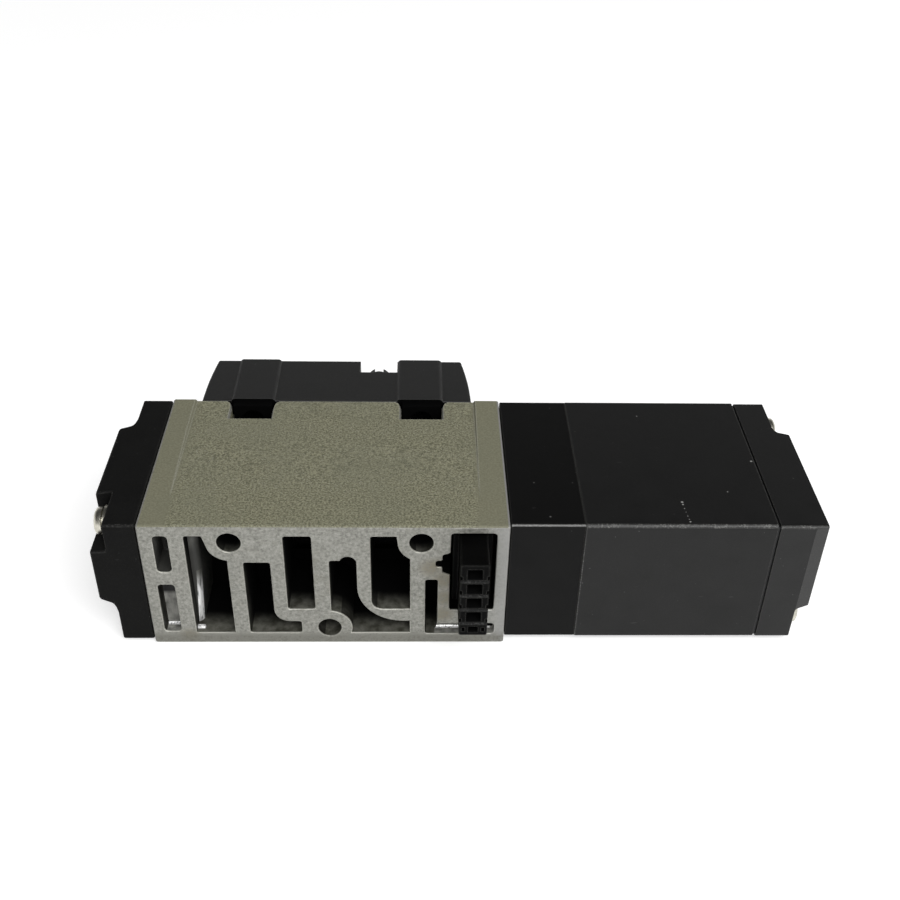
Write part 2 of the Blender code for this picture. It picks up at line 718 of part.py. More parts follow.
def outlet_a_outline():
    toe = OUTLET_A_RIGHT + OUTLET_A_TOE_LENGTH
    top = BODY_WIDTH - OUTLET_A_TOP_EDGE
    fillet = (OUTLET_A_RIGHT + OUTLET_A_FILLET, OUTLET_A_FOOT + OUTLET_A_FILLET)
    return ([(OUTLET_A_LEFT, PORT_LOW_EDGE), (toe, PORT_LOW_EDGE), (toe, OUTLET_A_FOOT)]
            + arc(fillet, OUTLET_A_FILLET, 270, 180)
            + [(OUTLET_A_RIGHT, top), (OUTLET_A_LEFT, top)])


def supply_outline():
    top = BODY_WIDTH - PORT_TOP_EDGE
    return [(SUPPLY_LEFT, SUPPLY_LOW), (SUPPLY_RIGHT, SUPPLY_LOW), (SUPPLY_RIGHT, top), (SUPPLY_LEFT, top)]


def outlet_b_outline():
    hole = MOUNT_HOLES[2][:2]
    radius = MOUNT_HOLE_RADIUS + MOUNT_WALL
    toe = OUTLET_B_RIGHT + OUTLET_B_TOE_LENGTH
    top = BODY_WIDTH - OUTLET_B_TOP_EDGE
    low = (hole[0] + chord(radius, hole[1] - PORT_LOW_EDGE), PORT_LOW_EDGE)
    side = (OUTLET_B_LEFT, hole[1] + chord(radius, OUTLET_B_LEFT - hole[0]))
    sweep = (OUTLET_B_RIGHT + OUTLET_B_SWEEP, OUTLET_B_FOOT + OUTLET_B_SWEEP)
    bulge = (OUTLET_B_RIGHT - OUTLET_B_BULGE, top - OUTLET_B_BULGE_DROP)
    shoulder = (bulge[0] - chord(OUTLET_B_BULGE, OUTLET_B_BULGE_DROP), top)
    return ([(toe, PORT_LOW_EDGE), (toe, OUTLET_B_FOOT)]
            + arc(sweep, OUTLET_B_SWEEP, 270, 180)
            + arc_between(bulge, OUTLET_B_BULGE, (OUTLET_B_RIGHT, bulge[1]), shoulder, clockwise=False)
            + [(OUTLET_B_LEFT, top)]
            + arc_between(hole, radius, side, low))


def exhaust_b_outline():
    hole = MOUNT_HOLES[1][:2]
    radius = MOUNT_HOLE_RADIUS + MOUNT_WALL
    top = BODY_WIDTH - PORT_TOP_EDGE
    corner = (EXHAUST_B_LEFT + EXHAUST_B_CORNER, EXHAUST_B_LOW + EXHAUST_B_CORNER)
    side = (EXHAUST_B_RIGHT, hole[1] - chord(radius, hole[0] - EXHAUST_B_RIGHT))
    upper = (hole[0] - chord(radius, top - hole[1]), top)
    return (arc(corner, EXHAUST_B_CORNER, 180, 270) + [(EXHAUST_B_RIGHT, EXHAUST_B_LOW)]
            + arc_between(hole, radius, side, upper) + [(EXHAUST_B_LEFT, top)])


def plug_pocket_outline():
    key_low = PLUG_POCKET_LOW + KEY_UP
    key_top = key_low + KEY_HEIGHT
    key_x = PLUG_POCKET_LEFT - KEY_DEPTH
    nib_x = key_x - KEY_NIB_WIDTH
    nib_low = key_low + (KEY_HEIGHT - KEY_NIB_HEIGHT) / 2
    nib_top = nib_low + KEY_NIB_HEIGHT
    return [
        (PLUG_POCKET_LEFT, PLUG_POCKET_LOW), (PLUG_POCKET_RIGHT, PLUG_POCKET_LOW),
        (PLUG_POCKET_RIGHT, PLUG_POCKET_TOP), (PLUG_POCKET_LEFT, PLUG_POCKET_TOP),
        (PLUG_POCKET_LEFT, key_top), (key_x, key_top - KEY_SLOPE), (key_x, nib_top), (nib_x, nib_top),
        (nib_x, nib_low), (key_x, nib_low), (key_x, key_low + KEY_SLOPE), (PLUG_POCKET_LEFT, key_low),
    ]


def make_body():
    body = box("valve_body", (0, 0, -BODY_FOOT), (BODY_LENGTH, BODY_HEIGHT, BODY_WIDTH), CAST)
    port_depth = AXIS_Y - BORE_RADIUS + PORT_OVERLAP
    outlines = {
        "exhaust_a": (exhaust_a_outline(), port_depth),
        "outlet_a": (outlet_a_outline(), port_depth),
        "supply": (supply_outline(), port_depth),
        "outlet_b": (outlet_b_outline(), port_depth),
        "exhaust_b": (exhaust_b_outline(), port_depth),
        "plug_pocket": (plug_pocket_outline(), PLUG_POCKET_DEPTH),
    }
    slot_low = BODY_WIDTH - PORT_TOP_EDGE - SLOT_HEIGHT
    outlines["slot"] = (rounded_slot(SLOT_LEFT, slot_low, SLOT_WIDTH, SLOT_HEIGHT, SLOT_CORNER), SLOT_DEPTH)
    pockets = [prism("cut_" + name, outline, "Y", (-CUT_MARGIN, depth))
               for name, (outline, depth) in outlines.items()]

    vent_x = BODY_LENGTH - VENT_FROM_END
    pockets.append(box("cut_relief", (RELIEF_LEFT, -CUT_MARGIN, RELIEF_LOW),
                       (RELIEF_LEFT + RELIEF_WIDTH, RELIEF_DEPTH, RELIEF_LOW + RELIEF_HEIGHT)))
    pockets.append(box("cut_vent", (vent_x, -CUT_MARGIN, VENT_LOW),
                       (vent_x + VENT_WIDTH, VENT_DEPTH, VENT_TOP)))
    pockets.append(box("cut_vent_run", (vent_x, -CUT_MARGIN, VENT_LOW),
                       (BODY_LENGTH - VENT_RUN_END, VENT_RUN_DEPTH, VENT_LOW + VENT_RUN_HEIGHT)))

    bore_end = SLEEVE_END + FIT_GAP
    pockets.append(cylinder("cut_bore", "X", AXIS, (-CUT_MARGIN, bore_end), BORE_RADIUS, steps=TURN_STEPS))
    pockets.append(cylinder("cut_tail_bore", "X", AXIS, (bore_end - CUT_MARGIN, BODY_LENGTH + CUT_MARGIN),
                            BORE_RADIUS - TAIL_BORE_STEP, steps=TURN_STEPS))

    for number, (x, z, side) in enumerate(MOUNT_HOLES, 1):
        out = CUT_MARGIN if side > z else -CUT_MARGIN
        pockets.append(cylinder(f"cut_mount_{number}", "Y", (x, z), (-CUT_MARGIN, BODY_HEIGHT + CUT_MARGIN),
                                MOUNT_HOLE_RADIUS))
        pockets.append(prism(f"cut_head_{number}", u_outline(x, z, HEAD_RECESS_RADIUS, side + out), "Y",
                             (BODY_HEIGHT - HEAD_RECESS_DEPTH, BODY_HEIGHT + CUT_MARGIN)))

    tapped = SCREW_RADIUS + FIT_GAP
    for number, at in enumerate(END_SCREWS, 1):
        pockets.append(cylinder(f"cut_end_tap_{number}", "X", at,
                                (-CUT_MARGIN, END_SCREW_GRIP + FIT_GAP), tapped))
    for number, at in enumerate(PILOT_SCREWS, 1):
        pockets.append(cylinder(f"cut_pilot_tap_{number}", "X", at,
                                (BODY_LENGTH - PILOT_SCREW_GRIP - FIT_GAP, BODY_LENGTH + CUT_MARGIN),
                                tapped))

    for number, z in enumerate(COIL_LEADS, 1):
        pockets.append(cylinder(f"cut_coil_lead_{number}", "X", (COIL_LEAD_Y, z),
                                (PLUG_POCKET_RIGHT - CUT_MARGIN, BODY_LENGTH + CUT_MARGIN), LEAD_HOLE))
    reach = LEAD_RADIUS + LEAD_CHANNEL_GAP
    pockets.append(box("cut_lead_channel",
                       (BOARD_LEADS[0] - reach, PLUG_POCKET_DEPTH - CUT_MARGIN, BOARD_LEAD_Z - reach),
                       (BOARD_LEADS[1] + reach, BODY_HEIGHT + CUT_MARGIN, BOARD_LEAD_Z + reach)))
    pockets.append(cylinder("cut_override", "Y", OVERRIDE_AT,
                            (BODY_HEIGHT - OVERRIDE_BORE_DEPTH, BODY_HEIGHT + CUT_MARGIN),
                            OVERRIDE_STEM + RUN_GAP))
    return cut(body, *pockets)


def sleeve_profile():
    """Sleeve section: lands with seal grooves between the port grooves."""
    land = BORE_RADIUS - FIT_GAP
    port = land - SLEEVE_PORT_DEPTH
    groove = BORE_RADIUS - RUN_GAP - 2 * ORING_RADIUS - RUN_GAP
    half = ORING_GROOVE_WIDTH / 2
    points = [(SLEEVE_BORE, SLEEVE_END), (land, SLEEVE_END)]
    stations = oring_stations()
    for index in range(len(stations) - 1, -1, -1):
        x = stations[index]
        points += [(land, x + half), (groove, x + half), (groove, x - half), (land, x - half)]
        if index > 0:
            left, right = PORTS[index - 1]
            points += [(land, right), (port, right), (port, left), (land, left)]
    return points + [(land, SEAT_GAP), (SLEEVE_BORE, SEAT_GAP)]


def oring_stations():
    between = [(a[1] + b[0]) / 2 for a, b in zip(PORTS, PORTS[1:])]
    return [EXHAUST_A_LEFT - END_ORING_GAP] + between + [EXHAUST_B_RIGHT + END_ORING_GAP]


def make_sleeve():
    sleeve = turned("spool_sleeve", sleeve_profile(), "X", AXIS, STEEL)
    windows = []
    reach = BORE_RADIUS + CUT_MARGIN
    half = PORT_WINDOW / 2
    for number, (left, right) in enumerate(PORTS, 1):
        x = (left + right) / 2
        windows.append(box(f"cut_window_y_{number}", (x - half, AXIS_Y - reach, AXIS_Z - half),
                           (x + half, AXIS_Y + reach, AXIS_Z + half)))
        windows.append(box(f"cut_window_z_{number}", (x - half, AXIS_Y - half, AXIS_Z - reach),
                           (x + half, AXIS_Y + half, AXIS_Z + reach)))
    cut(sleeve, *windows)
    for number, x in enumerate(oring_stations(), 1):
        mean = BORE_RADIUS - RUN_GAP - ORING_RADIUS
        turned(f"sleeve_oring_{number}", ring_section(mean, x, ORING_RADIUS), "X", AXIS, RUBBER)


def make_spool():
    """Two working lands beside the outlet ports, with a guiding land at each end."""
    land = SLEEVE_BORE - RUN_GAP
    half = PORT_WINDOW / 2
    tail_land = SLEEVE_END - SPOOL_TAIL_LAND_INSET
    lands = [(tail_land - SPOOL_TAIL_LAND_WIDTH, tail_land)]
    for left, right in (PORTS[3], PORTS[1]):
        first = (left + right) / 2 + half - SPOOL_LAND_OFFSET
        lands.append((first, first + SPOOL_LAND_WIDTH))
    lands.append((SPOOL_START, SPOOL_START + SPOOL_END_LAND))
    tail = BODY_LENGTH - SPOOL_TAIL_FROM_END
    profile = [(0.0, tail), (SPOOL_CORE, tail)]
    for low, high in lands:
        profile += [(SPOOL_CORE, high), (land, high), (land, low), (SPOOL_CORE, low)]
    profile = profile[:-1] + [(0.0, SPOOL_START)]
    turned("main_spool", profile, "X", AXIS, STEEL)

    span = (SPRING_FLOOR_X + SPRING_WIRE + FIT_GAP, SPOOL_START - SPRING_WIRE - FIT_GAP)
    mean_radius = SLEEVE_BORE - SPRING_SIDE_GAP - SPRING_WIRE
    wire("return_spring", coil_points("X", AXIS, span, mean_radius, SPRING_TURNS, SPRING_STEPS),
         SPRING_WIRE, SPRING_STEEL)


def make_screw(name, at, tip, seat, finish=STEEL):
    """Pan-head screw along X from its tip to its head's seat, with a cross recess in the head."""
    way = 1 if seat > tip else -1
    top = seat + way * SCREW_HEAD_HEIGHT
    profile = [
        (0.0, top), (SCREW_HEAD_RADIUS - SCREW_HEAD_ROUND, top),
        (SCREW_HEAD_RADIUS, top - way * SCREW_HEAD_ROUND), (SCREW_HEAD_RADIUS, seat),
        (SCREW_RADIUS, seat), (SCREW_RADIUS, tip), (0.0, tip),
    ]
    screw = turned(name, profile if way > 0 else profile[::-1], "X", at, finish, HOLE_STEPS)
    depth = sorted((top - way * SCREW_CROSS_DEPTH, top + way * CUT_MARGIN))
    long = SCREW_CROSS_SPAN / 2
    thin = SCREW_CROSS_WIDTH / 2
    cross = [box(f"cut_{name}_{axis}", (depth[0], at[0] - y, at[1] - z), (depth[1], at[0] + y, at[1] + z))
             for axis, y, z in (("y", long, thin), ("z", thin, long))]
    return cut(screw, *cross)


def make_end_plate():
    plate = box("end_plate", (END_BOSS_X, PLASTIC_FRONT_INSET, PLASTIC_LOW_Z),
                (-SEAT_GAP, PLASTIC_BACK_Y, PLASTIC_TOP_Z), BLACK)
    x_span = (END_BOSS_X - CUT_MARGIN, END_FLANGE_X)
    low = -CUT_MARGIN
    far_y = BODY_HEIGHT + CUT_MARGIN
    far_z = BODY_WIDTH + CUT_MARGIN
    screw_y = END_SCREW_EDGE_Y + SCREW_HEAD_RADIUS + END_SCREW_ROOM_Y
    screw_z = END_SCREW_EDGE_Z + SCREW_HEAD_RADIUS + END_SCREW_ROOM_Z
    plain_y = (END_PLAIN_RECESS_Y, END_PLAIN_RECESS_Y - END_RECESS_SLOPE)
    plain_z = (END_PLAIN_RECESS_Z, END_PLAIN_RECESS_Z - END_RECESS_SLOPE)
    recesses = [
        corner_wedge("cut_recess_near_top", x_span, [screw_y] * 2, [BODY_WIDTH - screw_z] * 2, low, far_z),
        corner_wedge("cut_recess_far_low", x_span, [BODY_HEIGHT - screw_y] * 2, [screw_z] * 2, far_y, low),
        corner_wedge("cut_recess_near_low", x_span, plain_y, plain_z, low, low),
        corner_wedge("cut_recess_far_top", x_span, [BODY_HEIGHT - y for y in plain_y],
                     [BODY_WIDTH - z for z in plain_z], far_y, far_z),
    ]
    pocket = cylinder("cut_spring_pocket", "X", AXIS, (SPRING_FLOOR_X, CUT_MARGIN), SLEEVE_BORE + FIT_GAP,
                      steps=TURN_STEPS)
    groove = flat_ring("cut_end_seal", AXIS, (-SEAT_GAP - SEAL_HEIGHT - FIT_GAP, CUT_MARGIN),
                       END_SEAL_RADIUS - FIT_GAP, SEAL_WIDTH + 2 * FIT_GAP, None)
    holes = [cylinder(f"cut_end_screw_{i}", "X", at, (END_BOSS_X - CUT_MARGIN, CUT_MARGIN),
                      SCREW_RADIUS + FIT_GAP) for i, at in enumerate(END_SCREWS, 1)]
    cut(plate, *recesses, pocket, groove, *holes)
    flat_ring("end_plate_seal", AXIS, (-SEAT_GAP - SEAL_HEIGHT, -SEAT_GAP), END_SEAL_RADIUS, SEAL_WIDTH,
              RUBBER)
    for number, at in enumerate(END_SCREWS, 1):
        make_screw(f"end_plate_screw_{number}", at, END_SCREW_GRIP, END_FLANGE_X - SEAT_GAP)


def make_adapter():
    adapter = box("adapter_plate", (ADAPTER_X, ADAPTER_FRONT_INSET, PLASTIC_LOW_Z),
                  (ADAPTER_END, PLASTIC_BACK_Y, PLASTIC_TOP_Z), BLACK)
    through = (ADAPTER_X - CUT_MARGIN, ADAPTER_END + CUT_MARGIN)
    cuts = [
        cylinder("cut_piston_bore", "X", AXIS, (ADAPTER_X - CUT_MARGIN, PISTON_CHAMBER_END),
                 PISTON_BORE, steps=TURN_STEPS),
        cylinder("cut_pilot_passage", "X", AXIS, through, PILOT_PASSAGE),
        flat_ring("cut_adapter_seal", AXIS, (ADAPTER_X - CUT_MARGIN, ADAPTER_X + SEAL_HEIGHT + FIT_GAP),
                  ADAPTER_SEAL_RADIUS - FIT_GAP, SEAL_WIDTH + 2 * FIT_GAP, None),
    ]
    cuts += [cylinder(f"cut_adapter_screw_{i}", "X", at, through, SCREW_RADIUS + FIT_GAP)
             for i, at in enumerate(PILOT_SCREWS, 1)]
    cuts += [cylinder(f"cut_adapter_lead_{i}", "X", (COIL_LEAD_Y, z), through, LEAD_HOLE)
             for i, z in enumerate(COIL_LEADS, 1)]
    cut(adapter, *cuts)
    flat_ring("adapter_seal", AXIS, (ADAPTER_X, ADAPTER_X + SEAL_HEIGHT), ADAPTER_SEAL_RADIUS, SEAL_WIDTH,
              RUBBER)


def make_piston():
    right = PISTON_CHAMBER_END - PISTON_REST_GAP
    left = right - PISTON_LENGTH
    rim = PISTON_BORE - RUN_GAP
    groove = rim - PISTON_GROOVE_DEPTH
    middle = (left + right) / 2
    half = PISTON_GROOVE_WIDTH / 2
    nose = BODY_LENGTH - SPOOL_TAIL_FROM_END + FIT_GAP
    profile = [
        (0.0, right), (rim, right), (rim, middle + half), (groove, middle + half), (groove, middle - half),
        (rim, middle - half), (rim, left), (PISTON_NOSE_RADIUS, left), (PISTON_NOSE_RADIUS, nose),
        (0.0, nose),
    ]
    turned("pilot_piston", profile, "X", AXIS, ALUMINIUM)
    flat_ring("piston_seal", AXIS, (middle - half + FIT_GAP, middle + half - FIT_GAP),
              groove + FIT_GAP, PISTON_GROOVE_DEPTH - FIT_GAP, RUBBER)


def cavity_cutters(name, span):
    """Cutters for the room around the solenoid: a round bore and slots for the yoke and the terminal."""
    half = YOKE_HALF_WIDTH + FIT_GAP
    terminal_z = sum(COIL_LEADS) / 2
    terminal_half = TERMINAL_HALF_WIDTH + FIT_GAP
    return [
        cylinder(f"cut_{name}_bore", "X", AXIS, span, BOBBIN_FLANGE_RADIUS + FIT_GAP, steps=TURN_STEPS),
        box(f"cut_{name}_yoke", (span[0], AXIS_Y - YOKE_REACH - FIT_GAP, AXIS_Z - half),
            (span[1], YOKE_BACK + FIT_GAP, AXIS_Z + half)),
        box(f"cut_{name}_terminal", (span[0], TERMINAL_Y - FIT_GAP, terminal_z - terminal_half),
            (span[1], AXIS_Y, terminal_z + terminal_half)),
    ]


def make_pilot_housing():
    housing = box("pilot_housing", (HOUSING_X, PLASTIC_FRONT_INSET, PLASTIC_LOW_Z),
                  (HOUSING_END, PLASTIC_BACK_Y, BODY_WIDTH), BLACK)
    through = (HOUSING_X - CUT_MARGIN, HOUSING_END + CUT_MARGIN)
    face_wall = (HOUSING_X - CUT_MARGIN, CAVITY_X + CUT_MARGIN)
    cuts = cavity_cutters("cavity", (CAVITY_X, HOUSING_END + CUT_MARGIN)) + [
        cylinder("cut_seat", "X", AXIS, face_wall, SEAT_RADIUS + FIT_GAP, steps=TURN_STEPS),
        flat_ring("cut_pilot_seal", AXIS, (HOUSING_X - CUT_MARGIN, HOUSING_X + SEAL_HEIGHT + FIT_GAP),
                  PILOT_SEAL_RADIUS - FIT_GAP, SEAL_WIDTH + 2 * FIT_GAP, None),
    ]
    cuts += [cylinder(f"cut_housing_screw_{i}", "X", at, through, SCREW_RADIUS + FIT_GAP)
             for i, at in enumerate(PILOT_SCREWS, 1)]
    cuts += [cylinder(f"cut_housing_lead_{i}", "X", (COIL_LEAD_Y, z), face_wall, LEAD_HOLE)
             for i, z in enumerate(COIL_LEADS, 1)]
    cut(housing, *cuts)
    flat_ring("pilot_seal", AXIS, (HOUSING_X, HOUSING_X + SEAL_HEIGHT), PILOT_SEAL_RADIUS, SEAL_WIDTH,
              RUBBER)


def make_end_cap():
    cap = box("pilot_end_cap", (CAP_X, PLASTIC_FRONT_INSET, PLASTIC_LOW_Z),
              (CAP_END, PLASTIC_BACK_Y, PLASTIC_TOP_Z), BLACK, CAP_CHAMFER, (1, 0, 0))
    pad = cylinder("cap_pad", "X", AXIS, (CORE_END + FIT_GAP, CAP_X + CUT_MARGIN), CAP_PAD_RADIUS,
                   steps=TURN_STEPS)
    join(cap, pad)
    x_span = (CAP_FLANGE_X, CAP_END + CUT_MARGIN)
    floor_y = SCREW_HEAD_REACH + CAP_SCREW_ROOM_Y
    floor_z = SCREW_HEAD_REACH + CAP_SCREW_ROOM_Z
    walls_y = (floor_y, floor_y + CAP_RECESS_SLOPE)
    walls_z = (floor_z, floor_z + CAP_RECESS_SLOPE)
    recesses = [
        corner_wedge("cut_cap_near_low", x_span, walls_y, walls_z, -CUT_MARGIN, -CUT_MARGIN),
        corner_wedge("cut_cap_far_top", x_span, [BODY_HEIGHT - y for y in walls_y],
                     [BODY_WIDTH - z for z in walls_z], BODY_HEIGHT + CUT_MARGIN, BODY_WIDTH + CUT_MARGIN),
    ]
    holes = [cylinder(f"cut_cap_screw_{i}", "X", at, (CAP_X - CUT_MARGIN, CAP_END + CUT_MARGIN),
                      SCREW_RADIUS + FIT_GAP) for i, at in enumerate(PILOT_SCREWS, 1)]
    cut(cap, *recesses, *holes)
    for number, at in enumerate(PILOT_SCREWS, 1):
        make_screw(f"pilot_screw_{number}", at, BODY_LENGTH - PILOT_SCREW_GRIP, CAP_FLANGE_X + SEAT_GAP)

    gasket = box("cap_gasket", (GASKET_X, PLASTIC_FRONT_INSET + GASKET_INSET, PLASTIC_LOW_Z + GASKET_INSET),
                 (GASKET_X + GASKET_THICKNESS, PLASTIC_BACK_Y - GASKET_INSET, PLASTIC_TOP_Z - GASKET_INSET),
                 RUBBER)
    reach = (GASKET_X - CUT_MARGIN, GASKET_X + GASKET_THICKNESS + CUT_MARGIN)
    window = cavity_cutters("gasket", reach)
    holes = [cylinder(f"cut_gasket_screw_{i}", "X", at, reach, SCREW_RADIUS + FIT_GAP)
             for i, at in enumerate(PILOT_SCREWS, 1)]
    cut(gasket, *window, *holes)


def make_pilot_valve():
    seat_low = HOUSING_X + FIT_GAP
    seat_profile = [
        (SEAT_ORIFICE, SEAT_TIP_X), (SEAT_TIP_RADIUS, SEAT_TIP_X),
        (SEAT_TIP_RADIUS + SEAT_TIP_HEIGHT, CAVITY_X), (SEAT_RADIUS, CAVITY_X),
        (SEAT_RADIUS, seat_low), (SEAT_ORIFICE, seat_low),
    ]
    turned("pilot_seat", seat_profile, "X", AXIS, BRASS)

    poppet_end = POPPET_X + POPPET_THICKNESS
    turned("pilot_poppet", [(0.0, poppet_end), (POPPET_RADIUS, poppet_end), (POPPET_RADIUS, POPPET_X),
                            (0.0, POPPET_X)], "X", AXIS, RUBBER)

    recess = poppet_end + FIT_GAP
    pocket = ARMATURE_END - ARMATURE_POCKET_DEPTH
    armature_profile = [
        (0.0, pocket), (ARMATURE_POCKET_RADIUS, pocket), (ARMATURE_POCKET_RADIUS, ARMATURE_END),
        (ARMATURE_RADIUS, ARMATURE_END), (ARMATURE_RADIUS, ARMATURE_X),
        (POPPET_RADIUS + FIT_GAP, ARMATURE_X), (POPPET_RADIUS + FIT_GAP, recess), (0.0, recess),
    ]
    turned("armature", armature_profile, "X", AXIS, SOFT_IRON)

    end_gap = ARMATURE_SPRING_WIRE + FIT_GAP
    mean_radius = ARMATURE_POCKET_RADIUS - ARMATURE_SPRING_SIDE_GAP - ARMATURE_SPRING_WIRE
    spring = coil_points("X", AXIS, (pocket + end_gap, CORE_X - end_gap), mean_radius,
                         ARMATURE_SPRING_TURNS, SMALL_SPRING_STEPS)
    wire("armature_spring", spring, ARMATURE_SPRING_WIRE, SPRING_STEEL)


def make_solenoid():
    turned("fixed_core", [
        (0.0, CORE_END), (CORE_FLANGE_RADIUS, CORE_END), (CORE_FLANGE_RADIUS, CORE_FLANGE_X),
        (ARMATURE_RADIUS, CORE_FLANGE_X), (ARMATURE_RADIUS, CORE_X), (0.0, CORE_X)], "X", AXIS, SOFT_IRON)

    bore = ARMATURE_RADIUS + RUN_GAP
    tube = bore + BOBBIN_WALL
    inner_left = BOBBIN_X + BOBBIN_FLANGE
    inner_right = BOBBIN_END - BOBBIN_FLANGE
    bobbin = turned("solenoid_bobbin", [
        (bore, BOBBIN_END), (BOBBIN_FLANGE_RADIUS, BOBBIN_END), (BOBBIN_FLANGE_RADIUS, inner_right),
        (tube, inner_right), (tube, inner_left), (BOBBIN_FLANGE_RADIUS, inner_left),
        (BOBBIN_FLANGE_RADIUS, BOBBIN_X), (bore, BOBBIN_X)], "X", AXIS, NYLON)
    terminal_z = sum(COIL_LEADS) / 2
    terminal = box("bobbin_terminal", (BOBBIN_X, TERMINAL_Y, terminal_z - TERMINAL_HALF_WIDTH),
                   (inner_left, AXIS_Y - tube, terminal_z + TERMINAL_HALF_WIDTH))
    join(bobbin, terminal)
    coil = BOBBIN_FLANGE_RADIUS - COIL_DROP
    turned("solenoid_coil", [
        (tube + FIT_GAP, inner_right - FIT_GAP), (coil, inner_right - FIT_GAP),
        (coil, inner_left + FIT_GAP), (tube + FIT_GAP, inner_left + FIT_GAP)], "X", AXIS, COPPER)

    front = AXIS_Y - YOKE_REACH
    inner_back = YOKE_BACK - YOKE_THICKNESS
    outline = [
        (YOKE_X, front), (YOKE_X + YOKE_THICKNESS, front), (YOKE_X + YOKE_THICKNESS, inner_back),
        (YOKE_END - YOKE_THICKNESS, inner_back), (YOKE_END - YOKE_THICKNESS, front), (YOKE_END, front),
        (YOKE_END, YOKE_BACK), (YOKE_X, YOKE_BACK),
    ]
    yoke = prism("solenoid_yoke", outline, "Z", (AXIS_Z - YOKE_HALF_WIDTH, AXIS_Z + YOKE_HALF_WIDTH),
                 SOFT_IRON)
    cut(yoke, cylinder("cut_yoke", "X", AXIS, (YOKE_X - CUT_MARGIN, YOKE_END + CUT_MARGIN),
                       ARMATURE_RADIUS + FIT_GAP, steps=TURN_STEPS))
    for number, z in enumerate(COIL_LEADS, 1):
        wire(f"coil_lead_{number}", [(PLUG_FLANGE_RIGHT + FIT_GAP, COIL_LEAD_Y, z),
                                     (BOBBIN_X - FIT_GAP, COIL_LEAD_Y, z)], LEAD_RADIUS, INSULATION)


def make_connector():
    half = PLUG_WIDTH / 2
    plug = box("connector_housing", (PLUG_X - half, -PLUG_FRONT, PLUG_LOW),
               (PLUG_X + half, PLUG_FLANGE_START + CUT_MARGIN, PLUG_TOP), BLACK)
    flange = box("plug_flange", (PLUG_FLANGE_LEFT, PLUG_FLANGE_START, PLUG_POCKET_LOW + PLUG_FLANGE_GAP),
                 (PLUG_FLANGE_RIGHT, PLUG_FLANGE_END, PLUG_POCKET_TOP - PLUG_FLANGE_GAP))
    join(plug, flange)
    cuts = []
    socket_x = PLUG_SOCKET_WIDTH / 2
    socket_z = (PLUG_CELL_PITCH - PLUG_RIB) / 2
    pin = CONTACT_SIZE / 2
    hole = pin + FIT_GAP
    for number in range(1, PLUG_CELLS + 1):
        z = PLUG_LOW + (number - 0.5) * PLUG_CELL_PITCH
        cuts.append(box(f"cut_socket_{number}", (PLUG_X - socket_x, -PLUG_FRONT - CUT_MARGIN, z - socket_z),
                        (PLUG_X + socket_x, PLUG_SOCKET_DEPTH - PLUG_FRONT, z + socket_z)))
        cuts.append(box(f"cut_contact_{number}", (PLUG_X - hole, -PLUG_FRONT, z - hole),
                        (PLUG_X + hole, PLUG_FLANGE_END + CUT_MARGIN, z + hole)))
        box(f"connector_contact_{number}", (PLUG_X - pin, CONTACT_RECESS - PLUG_FRONT, z - pin),
            (PLUG_X + pin, PLUG_FLANGE_END + CONTACT_TAIL, z + pin), BRASS)
    cut(plug, *cuts)
    for number, x in enumerate(BOARD_LEADS, 1):
        wire(f"board_lead_{number}", [(x, PLUG_FLANGE_END + FIT_GAP, BOARD_LEAD_Z),
                                      (x, BOARD_Y - FIT_GAP, BOARD_LEAD_Z)], LEAD_RADIUS, INSULATION)


def cover_outline(inset, low, high):
    """Tapered side view of the cover, drawn in by inset at its ends and its top."""
    left = COVER_END_INSET + inset
    right = BODY_LENGTH - COVER_END_INSET - inset
    return [(left, low), (right, low), (right - COVER_TAPER, high), (left + COVER_TAPER, high)]


